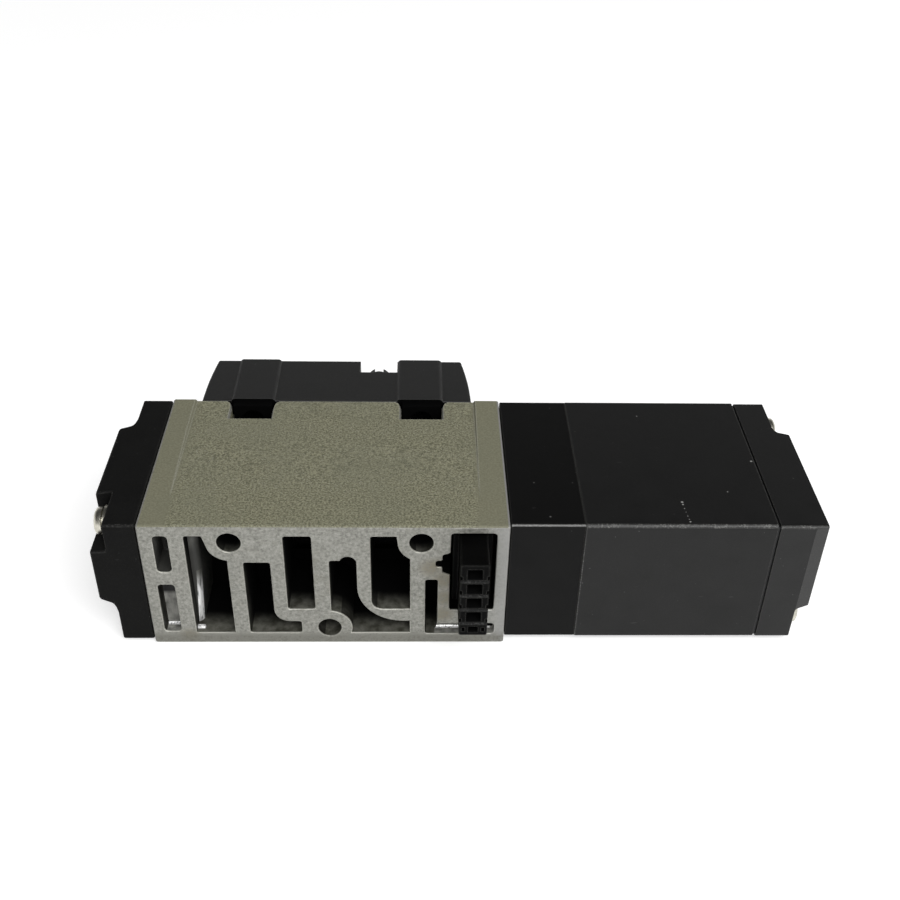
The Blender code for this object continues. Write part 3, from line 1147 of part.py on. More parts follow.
def make_cover():
    low_z = COVER_SIDE_INSET
    top_z = BODY_WIDTH - COVER_SIDE_INSET
    cover = prism("top_cover", cover_outline(0.0, COVER_Y, COVER_TOP), "Z", (low_z, top_z), BLACK)
    inside = cover_outline(COVER_WALL, COVER_Y - CUT_MARGIN, COVER_TOP - COVER_WALL)
    cavity = prism("cut_cover_cavity", inside, "Z", (low_z + COVER_WALL, top_z - COVER_WALL))
    cut(cover, cavity)

    added = []
    for number, (x, z, side) in enumerate(MOUNT_HOLES, 1):
        way = 1 if side > z else -1
        bulge = u_outline(x, z, BULGE_RADIUS, side - way * BULGE_INSET)
        spigot = u_outline(x, z, HEAD_RECESS_RADIUS - FIT_GAP, side - way * COVER_SIDE_INSET)
        added.append(prism(f"cover_bulge_{number}", bulge, "Y", (COVER_Y, COVER_TOP)))
        added.append(prism(f"cover_spigot_{number}", spigot, "Y",
                           (BODY_HEIGHT - SPIGOT_DEPTH, COVER_Y + COVER_WALL)))
    notch_left = NOTCH_CENTRE_X - NOTCH_WIDTH / 2
    notch_right = NOTCH_CENTRE_X + NOTCH_WIDTH / 2
    added.append(box("notch_cheek", (notch_right + SEAT_GAP, COVER_Y, BODY_WIDTH - MOUNT_TOP_EDGE),
                     (MOUNT_SECOND_X, COVER_TOP, BODY_WIDTH - BULGE_INSET)))
    added.append(box("notch_housing", (notch_left - COVER_WALL, NOTCH_FLOOR - COVER_WALL,
                                       top_z - NOTCH_REACH - COVER_WALL),
                     (notch_right + COVER_WALL, COVER_TOP - COVER_WALL / 2, top_z - COVER_WALL / 2)))
    for number, x in enumerate(BOARD_POSTS, 1):
        added.append(cylinder(f"board_post_{number}", "Y", (x, AXIS_Z),
                              (BOARD_TOP + FIT_GAP, COVER_TOP - COVER_WALL / 2), POST_RADIUS))
        added.append(cylinder(f"board_pin_{number}", "Y", (x, AXIS_Z),
                              (BOARD_Y, BOARD_TOP + FIT_GAP + CUT_MARGIN), POST_PIN_RADIUS))
    join(cover, *added)

    holes = [cylinder(f"cut_driver_{i}", "Y", (x, z), (BODY_HEIGHT - SPIGOT_DEPTH - CUT_MARGIN,
                                                      COVER_TOP + CUT_MARGIN), DRIVER_HOLE_RADIUS)
             for i, (x, z, _) in enumerate(MOUNT_HOLES, 1)]
    holes.append(box("cut_notch", (notch_left, NOTCH_FLOOR, top_z - NOTCH_REACH),
                     (notch_right, COVER_TOP + CUT_MARGIN, BODY_WIDTH + CUT_MARGIN)))
    holes.append(cylinder("cut_cover_override", "Y", OVERRIDE_AT, (COVER_Y, COVER_TOP),
                          OVERRIDE_STEM + FIT_GAP))
    holes.append(cylinder("cut_lens", "Y", LED_AT, (COVER_TOP - 2 * COVER_WALL, COVER_TOP + CUT_MARGIN),
                          LENS_RADIUS + FIT_GAP))
    cut(cover, *holes)


def make_override():
    top = COVER_TOP - OVERRIDE_TOP_DROP
    head_low = NOTCH_FLOOR + OVERRIDE_STROKE + FIT_GAP
    floor = BODY_HEIGHT - OVERRIDE_BORE_DEPTH
    stem_low = floor + OVERRIDE_SPRING_LENGTH + FIT_GAP
    ring_y = stem_low + OVERRIDE_RING_HEIGHT
    ring_radius = OVERRIDE_STEM - OVERRIDE_RING
    groove = ring_radius - OVERRIDE_RING - RUN_GAP
    half = OVERRIDE_RING + RUN_GAP
    profile = [
        (0.0, top), (OVERRIDE_HEAD - OVERRIDE_HEAD_CHAMFER, top),
        (OVERRIDE_HEAD, top - OVERRIDE_HEAD_CHAMFER), (OVERRIDE_HEAD, head_low),
        (OVERRIDE_STEM, head_low), (OVERRIDE_STEM, ring_y + half), (groove, ring_y + half),
        (groove, ring_y - half), (OVERRIDE_STEM, ring_y - half),
        (OVERRIDE_STEM, stem_low), (0.0, stem_low),
    ]
    button = turned("override_button", profile, "Y", OVERRIDE_AT, BLACK, HOLE_STEPS)
    x, z = OVERRIDE_AT
    half_slot = OVERRIDE_SLOT_WIDTH / 2
    reach = OVERRIDE_HEAD + CUT_MARGIN
    cut(button, box("cut_override_slot", (x - half_slot, top - OVERRIDE_SLOT_DEPTH, z - reach),
                    (x + half_slot, top + CUT_MARGIN, z + reach)))
    turned("override_oring", ring_section(ring_radius, ring_y, OVERRIDE_RING), "Y", OVERRIDE_AT, RUBBER,
           HOLE_STEPS)
    end_gap = OVERRIDE_SPRING_WIRE + FIT_GAP
    mean_radius = OVERRIDE_STEM + RUN_GAP - OVERRIDE_SPRING_SIDE_GAP - OVERRIDE_SPRING_WIRE
    spring = coil_points("Y", OVERRIDE_AT, (floor + end_gap, stem_low - end_gap), mean_radius,
                         OVERRIDE_SPRING_TURNS, SMALL_SPRING_STEPS)
    wire("override_spring", spring, OVERRIDE_SPRING_WIRE, SPRING_STEEL)


def make_board():
    right = BOARD_LEADS[1] + LEAD_RADIUS
    tongue_left = BOARD_LEADS[0] - LEAD_RADIUS
    low = MOUNT_LOW_EDGE + BULGE_RADIUS + BOARD_LOW_GAP
    high = BODY_WIDTH - MOUNT_TOP_EDGE - BULGE_RADIUS - BOARD_TOP_GAP
    tongue_top = BOARD_LEAD_Z + LEAD_RADIUS + FIT_GAP
    outline = [(BOARD_LEFT, low), (right, low), (right, tongue_top), (tongue_left, tongue_top),
               (tongue_left, high), (BOARD_LEFT, high)]
    board = prism("circuit_board", outline, "Y", (BOARD_Y, BOARD_TOP), BOARD)
    through = (BOARD_Y - CUT_MARGIN, BOARD_TOP + CUT_MARGIN)
    cut(board, *[cylinder(f"cut_board_{i}", "Y", (x, AXIS_Z), through, POST_PIN_RADIUS + FIT_GAP)
                 for i, x in enumerate(BOARD_POSTS, 1)])
    led_low = BOARD_TOP + FIT_GAP
    led_top = led_low + LED_HEIGHT
    dome = arc((0.0, led_top - LED_RADIUS), LED_RADIUS, LED_DOME_ANGLE, 0, DOME_STEPS)
    turned("indicator_led", [(0.0, led_top)] + dome + [(LED_RADIUS, led_low), (0.0, led_low)], "Y", LED_AT,
           LED_RED, HOLE_STEPS)
    lens_low = led_top + FIT_GAP
    flange_top = COVER_TOP - COVER_WALL - FIT_GAP
    flange_low = flange_top - LENS_FLANGE
    turned("indicator_lens", [
        (0.0, COVER_TOP), (LENS_RADIUS, COVER_TOP), (LENS_RADIUS, flange_top),
        (LENS_FLANGE_RADIUS, flange_top), (LENS_FLANGE_RADIUS, flange_low), (LENS_RADIUS, flange_low),
        (LENS_RADIUS, lens_low), (0.0, lens_low)], "Y", LED_AT, LENS, HOLE_STEPS)


make_body()
make_sleeve()
make_spool()
make_end_plate()
make_adapter()
make_piston()
make_pilot_housing()
make_end_cap()
make_pilot_valve()
make_solenoid()
make_connector()
make_cover()
make_override()
make_board()
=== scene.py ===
"""Looks of a base-mounted solenoid valve, lying on its side with the ported face towards -Y.

Pieces are drawn in millimetres from a datum at the near left edge of the cast body, level with the
underside of the moulded ends: X runs along the valve, Y from the ported face to the cover, and Z up.
Each piece is then scaled to metres and put on its body.
"""

import json
import math

import bmesh
import bpy
from mathutils import Matrix, Vector


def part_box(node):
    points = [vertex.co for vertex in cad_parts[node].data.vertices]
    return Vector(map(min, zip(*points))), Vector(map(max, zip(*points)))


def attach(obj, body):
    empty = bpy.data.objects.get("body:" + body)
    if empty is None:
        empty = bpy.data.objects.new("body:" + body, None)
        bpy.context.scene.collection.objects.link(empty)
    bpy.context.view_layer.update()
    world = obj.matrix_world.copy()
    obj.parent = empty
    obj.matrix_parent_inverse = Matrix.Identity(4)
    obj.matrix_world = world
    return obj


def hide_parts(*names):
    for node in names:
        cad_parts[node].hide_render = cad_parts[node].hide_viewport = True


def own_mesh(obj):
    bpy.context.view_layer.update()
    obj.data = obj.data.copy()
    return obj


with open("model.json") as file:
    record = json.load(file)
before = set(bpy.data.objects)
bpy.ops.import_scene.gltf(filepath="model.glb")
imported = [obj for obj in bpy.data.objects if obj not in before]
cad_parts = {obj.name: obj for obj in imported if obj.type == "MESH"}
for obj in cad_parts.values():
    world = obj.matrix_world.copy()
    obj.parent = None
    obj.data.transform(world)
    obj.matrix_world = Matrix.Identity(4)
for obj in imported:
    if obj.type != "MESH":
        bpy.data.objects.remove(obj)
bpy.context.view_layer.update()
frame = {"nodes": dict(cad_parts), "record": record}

MM = 0.001
SIDE_INSET = 0.2
BODY_CORNER_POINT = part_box("valve_body")[0]
DATUM = Vector((*BODY_CORNER_POINT[:2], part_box("end_plate")[0].z - SIDE_INSET * MM))
TO_FRAME = Matrix.Translation(DATUM) @ Matrix.Scale(MM, 4)


def node_box(node):
    """Low and high corners of a node, in millimetres from the datum."""
    return [(corner - DATUM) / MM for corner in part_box(node)]


# Sizes taken from the frame
BODY_LOW, BODY = node_box("valve_body")
END_PLATE = node_box("end_plate")
ADAPTER = node_box("adapter_plate")
HOUSING = node_box("pilot_housing")
CAP = node_box("pilot_end_cap")
GASKET = node_box("cap_gasket")
COVER = node_box("top_cover")
PLUG = node_box("connector_housing")
BUTTON = node_box("override_button")
SLEEVE = node_box("spool_sleeve")
BOARD_LEADS = (node_box("board_lead_1")[0], node_box("board_lead_2")[1])


def axis_of(node, first, second):
    low, high = node_box(node)
    return ((low[first] + high[first]) / 2, (low[second] + high[second]) / 2)


AXIS = axis_of("spool_sleeve", 1, 2)
OVERRIDE = axis_of("override_button", 0, 2)
LENS_AT = axis_of("indicator_lens", 0, 2)
END_SCREWS = [axis_of(f"end_plate_screw_{i}", 1, 2) for i in (1, 2)]
PILOT_SCREWS = [axis_of(f"pilot_screw_{i}", 1, 2) for i in (1, 2)]
COIL_LEADS = [axis_of(f"coil_lead_{i}", 1, 2) for i in (1, 2)]

# Rounding and overlaps
ARC_STEPS = 6
ROUND_STEPS = 3
TURN_STEPS = 40
OVERLAP = 1.0
SMOOTH_ANGLE = math.radians(32)
ROUND_ANGLES = [math.pi / 2 * i / ROUND_STEPS for i in range(ROUND_STEPS + 1)]
ROUND_SHARES = [(1 - math.sin(angle), 1 - math.cos(angle)) for angle in ROUND_ANGLES]

# Cast body
BODY_CORNER = 0.45
END_ROUND = 0.35
LIP = 0.25
MOUTH_CLEAR = 0.03
POCKET_FILLET = 0.35
WIDE_FILLET = 0.55
# Painted shade in the pockets: the depth over which the casting goes black, and how much height adds to it
PAINTED_SHADE_DEPTH = 5.5
PAINTED_SHADE_RISE = 0.15
PORT_DEPTH = 12.6
PORT_LOW = 1.7
PORT_TOP = 22.4
BORE = 6.0
BORE_END = SLEEVE[1].x + 0.2
TAIL_BORE = 4.6
MOUNTS = ((14.0, 21.1, 1), (44.0, 21.1, 1), (29.0, 2.8, -1))
MOUNT_HOLE = 1.9
MOUNT_WALL = 3.75
HEAD_RECESS = 3.6
HEAD_DEPTH = 5.3
FLARE_WIDTH = 0.75
FLARE_LENGTH = 2.3
FLARE_CHAMFER = 0.5

# Small pockets of the cast body: low corner, high corner and corner radius
SLOT = ((2.3, 15.0), (4.6, PORT_TOP), 0.7)
SLOT_DEPTH = 5.5
RELIEF = ((1.9, 2.0), (4.6, 12.3), 0.6)
RELIEF_DEPTH = 2.15
VENT = ((44.65, 1.45), (46.65, 13.4), 0.4)
VENT_DEPTH = 8.0
VENT_RUN = ((44.65, 1.45), (56.1, 3.75), 0.6)
RUN_DEPTH = 1.85
RUN_END = ((54.1, 1.6), (56.0, 3.6), 0.4)
RUN_END_DEPTH = 2.2
PLUG_POCKET_DEPTH = 9.0

# Holes and the sunk panel of the cast body
END_TAP = 6.4
PILOT_TAP = 51.8
COIL_LEAD_START = 55.0
CHANNEL_START = 8.0
OVERRIDE_FLOOR = 26.0
OVERRIDE_HOLE = 1.75
PANEL_LEFT = 4.1
PANEL_RIGHT = 53.3
PANEL_NEAR = 7.0
PANEL_DROP = 0.55
PANEL_SLOPE = 0.45
# Level below which the ledge carries its painted highlight
LEDGE_HIGHLIGHT_TOP = 13.0

# Screws and leads
SCREW_HEAD = 2.3
SCREW_SHANK = 1.35
SEAT_GAP = 0.15
SEAT_ROOM = 2.75
TAPPED = 1.55
LEAD_HOLE = 0.65
LEAD_GAP = 0.3
PIN_HOLE = 0.6

# Moulded ends
END_FLANGE = -5.3
END_PLATE_DROP = 0.45
CAP_FLANGE = 105.0
CAP_STEPS = (0.5, 0.9)
CAP_TAPER = 105.85
CAVITY_X = 73.35
CHAMBER_END = 66.2
SPRING_FLOOR = -6.0
SPRING_POCKET = 4.2
PISTON_BORE = 7.6
PASSAGE = 1.2
COIL_ROOM = 9.4
SEAT_HOLE = 2.6
CAP_PAD = 4.2

# Cover and override
COVER_BASE = BODY.y + 0.15
COVER_SIDES = (0.5, 24.0)
COVER_WALL = 1.4
NOTCH = (32.6, 39.5)
NOTCH_FLOOR = COVER[1].y - 4.0
NOTCH_LOW_Z = 16.5
BOARD_POSTS = (27.0, 42.0)
BOARD_POST = 1.3
COLUMN = 3.7
COVER_ROUND = 0.35
BULGE_LEFTS = (3.9, 4.4, 3.9)
BULGE_RIGHT = 3.9
SPIGOT_GAP = 0.2
DRIVER_HOLE = 2.0
LENS_HOLE = 2.0


# Outlines

def arc(centre, radius, start, end, steps=ARC_STEPS):
    """Points on an arc, angles in degrees; the radius may be a pair, for an ellipse."""
    wide, tall = radius if isinstance(radius, tuple) else (radius, radius)
    angles = [math.radians(start + (end - start) * i / steps) for i in range(steps + 1)]
    return [(centre[0] + wide * math.cos(a), centre[1] + tall * math.sin(a)) for a in angles]


def circle(centre, radius, steps=TURN_STEPS):
    return arc(centre, radius, 0, 360, steps)[:-1]


def arc_between(centre, radius, first, last, clockwise=True):
    """Arc about a centre from one point on its circle to another."""
    start = math.degrees(math.atan2(first[1] - centre[1], first[0] - centre[0]))
    end = math.degrees(math.atan2(last[1] - centre[1], last[0] - centre[0]))
    if clockwise and end > start:
        end -= 360
    return arc(centre, radius, start, end, 2 * ARC_STEPS)


def chord(radius, offset):
    return math.sqrt(radius * radius - offset * offset)


def rounded(corners, steps=ARC_STEPS):
    """Outline through (u, v, radius) corners, each rounded by its radius."""
    outline = []
    for i, (u, v, radius) in enumerate(corners):
        corner = Vector((u, v))
        before = (Vector(corners[i - 1][:2]) - corner).normalized()
        after = (Vector(corners[(i + 1) % len(corners)][:2]) - corner).normalized()
        if radius <= 0:
            outline.append((u, v))
            continue
        half = before.angle(after) / 2
        centre = corner + (before + after).normalized() * (radius / math.sin(half))
        first = corner + before * (radius / math.tan(half)) - centre
        last = corner + after * (radius / math.tan(half)) - centre
        start = math.atan2(first.y, first.x)
        turn = (math.atan2(last.y, last.x) - start + math.pi) % (2 * math.pi) - math.pi
        for step in range(steps + 1):
            angle = start + turn * step / steps
            outline.append((centre.x + radius * math.cos(angle), centre.y + radius * math.sin(angle)))
    return outline


def rectangle(low, high, radius=0.0):
    return rounded([(low[0], low[1], radius), (high[0], low[1], radius),
                    (high[0], high[1], radius), (low[0], high[1], radius)])


def anticlockwise(outline):
    pairs = zip(outline, outline[1:] + outline[:1])
    area = sum(a[0] * b[1] - a[1] * b[0] for a, b in pairs)
    return list(outline) if area > 0 else list(outline)[::-1]


def offset(outline, distance):
    """Outline moved outwards; its points run anticlockwise."""
    moved = []
    for i, point in enumerate(outline):
        here = Vector(point)
        before = (here - Vector(outline[i - 1])).normalized()
        after = (Vector(outline[(i + 1) % len(outline)]) - here).normalized()
        first = Vector((before.y, -before.x))
        second = Vector((after.y, -after.x))
        moved.append(tuple(here + (first + second) * (distance / (1 + first.dot(second)))))
    return moved


# Solids

PLACES = {
    "X": lambda u, v, s: (s, u, v),
    "Y": lambda u, v, s: (u, s, v),
    "Z": lambda u, v, s: (u, v, s),
}


def add_to_scene(name, data):
    obj = bpy.data.objects.new(name, data)
    bpy.context.scene.collection.objects.link(obj)
    return obj


def add_object(name, bm, materials):
    mesh = bpy.data.meshes.new(name)
    bm.to_mesh(mesh)
    bm.free()
    for material in materials:
        mesh.materials.append(material)
    return add_to_scene(name, mesh)


def loft(name, rings, materials, tags=None):
    """Closed solid through rings of points; tags index the materials of first end, stretches, last end."""
    tags = tags or [0] * (len(rings) + 1)
    bm = bmesh.new()
    rows = [[bm.verts.new(point) for point in ring] for ring in rings]
    count = len(rows[0])
    for tag, (row, after) in zip(tags[1:], zip(rows, rows[1:])):
        for i in range(count):
            j = (i + 1) % count
            bm.faces.new((row[i], row[j], after[j], after[i])).material_index = tag
    bm.faces.new(rows[0]).material_index = tags[0]
    bm.faces.new(rows[-1]).material_index = tags[-1]
    bmesh.ops.recalc_face_normals(bm, faces=bm.faces)
    return add_object(name, bm, materials)


def sweep(name, outline, axis, profile, materials, tags=None):
    """Solid that has the outline, moved outwards by an offset, at each (station, offset) of a profile."""
    place = PLACES[axis]
    base = anticlockwise(outline)
    rings = [[place(u, v, station) for u, v in (offset(base, distance) if distance else base)]
             for station, distance in profile]
    return loft(name, rings, materials, tags)


def prism(name, outline, axis, span, material):
    return sweep(name, outline, axis, [(span[0], 0.0), (span[1], 0.0)], [material])


def drill(name, axis, centre, span, radius, material):
    return prism(name, circle(centre, radius), axis, span, material)


def drill_each(name, places, span, radius, material):
    """Cutters for holes along X at several (y, z) places."""
    return [drill(f"cut_{name}_{i}", "X", at, span, radius, material) for i, at in enumerate(places, 1)]


def rounded_span(low, high, low_round, high_round):
    """Profile of a block between two stations, with its end edges rounded."""
    start = [(low + low_round * along, -low_round * across) for along, across in ROUND_SHARES]
    end = [(high - high_round * along, -high_round * across) for along, across in ROUND_SHARES]
    return start[::-1] + end


def block(name, low, high, axis, radius, end_rounds, materials):
    """Box with rounded edges, swept along one axis."""
    places = {"X": (1, 2, 0), "Y": (0, 2, 1), "Z": (0, 1, 2)}
    u, v, s = places[axis]
    outline = rectangle((low[u], low[v]), (high[u], high[v]), radius)
    return sweep(name, outline, axis, rounded_span(low[s], high[s], *end_rounds), materials)


def pocket(name, outline, depth, materials, fillet=POCKET_FILLET):
    """Cutter for a pocket in the mounting face, with a rounded mouth and floor.

    The materials are those of the rim, which carries a painted highlight, of the wall with the floor, and
    of the fillet between them. The left wall of a port, vent, mounting hole or relief gets painted shade.
    """
    profile = [(-OVERLAP, LIP)]
    profile += [(LIP * across - MOUTH_CLEAR, LIP * along) for along, across in ROUND_SHARES]
    profile += [(depth - fillet * along, -fillet * across) for along, across in ROUND_SHARES]
    tags = [0] * (ROUND_STEPS + 2) + [1] + [2] * ROUND_STEPS + [1]
    cutter = sweep(name, outline, "Y", profile, [*materials, SHADED_CASTING], tags)
    # Left walls take the darker casting as painted shade
    if materials[1] in (CASTING, RELIEF_CASTING):
        tag_faces(cutter, 3, lambda normal, centre: normal.x < -0.5 and centre.y > LIP)
    return cutter


def turned(name, axis, centre, profile, materials, steps=TURN_STEPS):
    """Solid of revolution through (station, radius) points along an axis."""
    place = PLACES[axis]
    bm = bmesh.new()
    rows = []
    for station, radius in profile:
        ring = circle(centre, radius, steps) if radius > 0 else [centre]
        rows.append([bm.verts.new(place(u, v, station)) for u, v in ring])
    for row, after in zip(rows, rows[1:]):
        for i in range(steps):
            j = (i + 1) % steps
            corners = [row[i % len(row)], row[j % len(row)], after[j % len(after)], after[i % len(after)]]
            bm.faces.new(list(dict.fromkeys(corners)))
    bmesh.ops.recalc_face_normals(bm, faces=bm.faces)
    return add_object(name, bm, materials)


def tag_faces(obj, index, test):
    """Gives a material index to the faces whose normal and centre pass a test."""
    for polygon in obj.data.polygons:
        if test(polygon.normal, polygon.center):
            polygon.material_index = index


# Faces of the upper front edges, which take the lighter edge material as a painted highlight
def top_front_edge(normal, centre):
    return normal.y < -0.25 and normal.z > 0.25


def combine(obj, others, operation="DIFFERENCE"):
    """Applies Booleans with other solids, which bring their own materials and are then removed."""
    for other in others:
        modifier = obj.modifiers.new(other.name, "BOOLEAN")
        modifier.object = other
        modifier.operation = operation
        modifier.solver = "EXACT"
        modifier.material_mode = "TRANSFER"
    bpy.context.view_layer.update()
    shown = obj.evaluated_get(bpy.context.evaluated_depsgraph_get())
    mesh = bpy.data.meshes.new_from_object(shown)
    obj.modifiers.clear()
    obj.data = mesh
    for other in others:
        bpy.data.objects.remove(other)
    return obj


def soften(obj, width, angle=40.0):
    """Rounds the edges that are sharper than an angle."""
    modifier = obj.modifiers.new("soft_edges", "BEVEL")
    modifier.width = width
    modifier.segments = 2
    modifier.limit_method = "ANGLE"
    modifier.angle_limit = math.radians(angle)
    modifier.miter_outer = "MITER_ARC"
    modifier.use_clamp_overlap = True
    return combine(obj, [])


def place_piece(obj, body, slot, *nodes):
    """Puts a finished piece in the frame, on its body, in place of the nodes that it stands for."""
    obj.data.transform(TO_FRAME)
    obj.data.shade_smooth()
    obj.data.set_sharp_from_angle(angle=SMOOTH_ANGLE)
    weighted = obj.modifiers.new("weighted_normals", "WEIGHTED_NORMAL")
    weighted.keep_sharp = True
    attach(obj, body)
    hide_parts(*nodes)
    return obj


# Materials

def node(tree, kind, inputs=None, **settings):
    """New shader node of a kind, with its settings, and its inputs from values or from sockets."""
    made = tree.nodes.new("ShaderNode" + kind)
    for key, value in settings.items():
        setattr(made, key, value)
    for key, value in (inputs or {}).items():
        if isinstance(value, bpy.types.NodeSocket):
            tree.links.new(value, made.inputs[key])
        else:
            made.inputs[key].default_value = value
    return made


def shader_material(name, roughness, metallic=0.0, specular=0.5):
    """New material; returns it with its node tree and its surface shader."""
    material = bpy.data.materials.new(name)
    material.use_nodes = True
    tree = material.node_tree
    shader = tree.nodes["Principled BSDF"]
    shader.inputs["Roughness"].default_value = roughness
    shader.inputs["Metallic"].default_value = metallic
    shader.inputs["Specular IOR Level"].default_value = specular
    return material, tree, shader


def position(tree):
    return node(tree, "TexCoord").outputs["Object"]


def coordinate(tree, axis):
    return node(tree, "SeparateXYZ", {"Vector": position(tree)}).outputs[axis]


def noise(tree, size, detail=2.0, stretch=(1, 1, 1), rough=0.5):
    """Noise with features of about a size in millimetres, stretched along the axes."""
    scaled = node(tree, "Mapping", {"Vector": position(tree), "Scale": [1 / s for s in stretch]})
    inputs = {"Vector": scaled.outputs["Vector"], "Scale": 1 / (size * MM), "Detail": detail,
              "Roughness": rough}
    return node(tree, "TexNoise", inputs).outputs["Fac"]


def remap(tree, value, from_low, from_high, to_low=0.0, to_high=1.0, curve="LINEAR"):
    inputs = {"Value": value, "From Min": from_low, "From Max": from_high, "To Min": to_low,
              "To Max": to_high}
    return node(tree, "MapRange", inputs, interpolation_type=curve).outputs["Result"]


def blend(tree, factor, first, second):
    """Mix of two colours, each a tuple or a socket."""
    made = node(tree, "Mix", data_type="RGBA")
    tree.links.new(factor, made.inputs[0])
    for socket, colour in ((made.inputs[6], first), (made.inputs[7], second)):
        if isinstance(colour, bpy.types.NodeSocket):
            tree.links.new(colour, socket)
        else:
            socket.default_value = (*colour, 1)
    return made.outputs[2]


def calculate(tree, operation, first, second):
    return node(tree, "Math", {0: first, 1: second}, operation=operation).outputs[0]


def multiply(tree, first, second):
    return calculate(tree, "MULTIPLY", first, second)


def worn_edges(tree, radius):
    """Rises from 0 to 1 near edges, within a radius in millimetres."""
    soft = node(tree, "Bevel", {"Radius": radius * MM}, samples=4).outputs["Normal"]
    hard = node(tree, "NewGeometry").outputs["Normal"]
    same = node(tree, "VectorMath", {0: soft, 1: hard}, operation="DOT_PRODUCT").outputs["Value"]
    return remap(tree, same, 0.995, 0.90)


def spots(tree, places):
    """Largest of soft spots, each (x, y, z, radius) in millimetres from the datum."""
    total = None
    for x, y, z, radius in places:
        centre = TO_FRAME @ Vector((x, y, z))
        away = node(tree, "VectorMath", {0: position(tree), 1: centre}, operation="DISTANCE")
        spot = remap(tree, away.outputs["Value"], radius * MM, radius * MM / 3)
        total = calculate(tree, "MAXIMUM", total, spot) if total else spot
    return total


def finish(tree, shader, colour, rough, height, depth, strength=1.0):
    """Links a colour, a roughness, and bumps from a height over a depth in millimetres."""
    bump = node(tree, "Bump", {"Height": height, "Distance": depth * MM, "Strength": strength})
    for socket, value in (("Base Color", colour), ("Roughness", rough), ("Normal", bump.outputs["Normal"])):
        tree.links.new(value, shader.inputs[socket])


def tint(tone, colour):
    return [tone * part for part in colour]


def paint_material():
    """Olive-grey sandy paint on the cast sides: sandy in the sunk panel, smooth on the strips beside it."""
    material, tree, shader = shader_material("olive_paint", 0.6, specular=0.35)
    across = coordinate(tree, "X")
    left = DATUM.x + PANEL_LEFT * MM
    right = DATUM.x + PANEL_RIGHT * MM
    panel = multiply(tree, remap(tree, across, left, left + MM, 0.3, 1.0),
                     remap(tree, across, right, right - MM, 0.3, 1.0))
    grain = noise(tree, 0.34, 2.0, rough=0.6)
    fine = noise(tree, 0.15, 2.0)
    broad = noise(tree, 9.0, 2.0)
    sandy = blend(tree, remap(tree, grain, 0.36, 0.64), (0.082, 0.080, 0.048), (0.245, 0.239, 0.158))
    colour = blend(tree, panel, (0.158, 0.154, 0.104), sandy)
    colour = blend(tree, remap(tree, broad, 0.35, 0.7, 0.0, 0.35), colour, (0.146, 0.148, 0.102))
    glint = multiply(tree, panel, remap(tree, fine, 0.60, 0.70, 0.0, 0.9))
    colour = blend(tree, glint, colour, (0.36, 0.355, 0.28))
    worn = multiply(tree, worn_edges(tree, 0.35), remap(tree, fine, 0.35, 0.6, 0.2, 0.9))
    colour = blend(tree, worn, colour, (0.34, 0.34, 0.29))
    rough = remap(tree, fine, 0.3, 0.7, 0.5, 0.72)
    finish(tree, shader, colour, rough, multiply(tree, grain, panel), 0.09)
    return material


# Stains on the mounting face: (x, y, z, radius)
STAINS = ((47.6, 0.0, 13.4, 2.6), (47.7, 0.0, 9.5, 2.4), (47.6, 0.0, 6.0, 2.2), (45.6, 0.0, 16.0, 2.4),
          (6.0, 0.0, 1.0, 2.0))


def machined_material(name, tone, contrast=1.0):
    """Machined aluminium of the mounting face, with milling marks and a few stains."""
    material, tree, shader = shader_material(name, 0.45, metallic=0.5, specular=0.4)
    mill = noise(tree, 0.12, 2.0, stretch=(9, 1, 1))
    mottle = noise(tree, 0.42, 3.0, rough=0.7)
    cloud = noise(tree, 5.0, 3.0, rough=0.65)
    speck = noise(tree, 0.35, 1.0)
    spread = 0.52 * contrast
    dark = tint(tone * (1 - spread), (1.0, 0.995, 0.86))
    pale = tint(tone * (1 + spread), (1.0, 0.995, 0.90))
    colour = blend(tree, remap(tree, mottle, 0.3, 0.7), dark, pale)
    colour = blend(tree, remap(tree, mill, 0.3, 0.7, 0.0, 0.3), colour, pale)
    colour = blend(tree, remap(tree, cloud, 0.58, 0.78, 0.0, 0.35), colour, (0.15, 0.14, 0.105))
    stain = multiply(tree, spots(tree, STAINS), remap(tree, mottle, 0.35, 0.6, 0.2, 0.7))
    colour = blend(tree, stain, colour, (0.150, 0.128, 0.078))
    colour = blend(tree, remap(tree, speck, 0.74, 0.80, 0.0, 0.6), colour, (0.10, 0.10, 0.09))
    # Painted light: the face grows lighter towards its right end
    right = remap(tree, coordinate(tree, "X"), DATUM.x + 54 * MM, DATUM.x + 57 * MM, 0.0, 0.7)
    colour = blend(tree, right, colour, tint(tone, (1.32, 1.32, 1.28)))
    low = remap(tree, coordinate(tree, "Z"), DATUM.z + 2.2 * MM, DATUM.z + 0.8 * MM, 0.0, 0.9)
    colour = blend(tree, multiply(tree, low, remap(tree, mottle, 0.3, 0.6)), colour, (0.13, 0.128, 0.108))
    finish(tree, shader, colour, remap(tree, mottle, 0.3, 0.7, 0.38, 0.55), mottle, 0.02, 0.4)
    return material


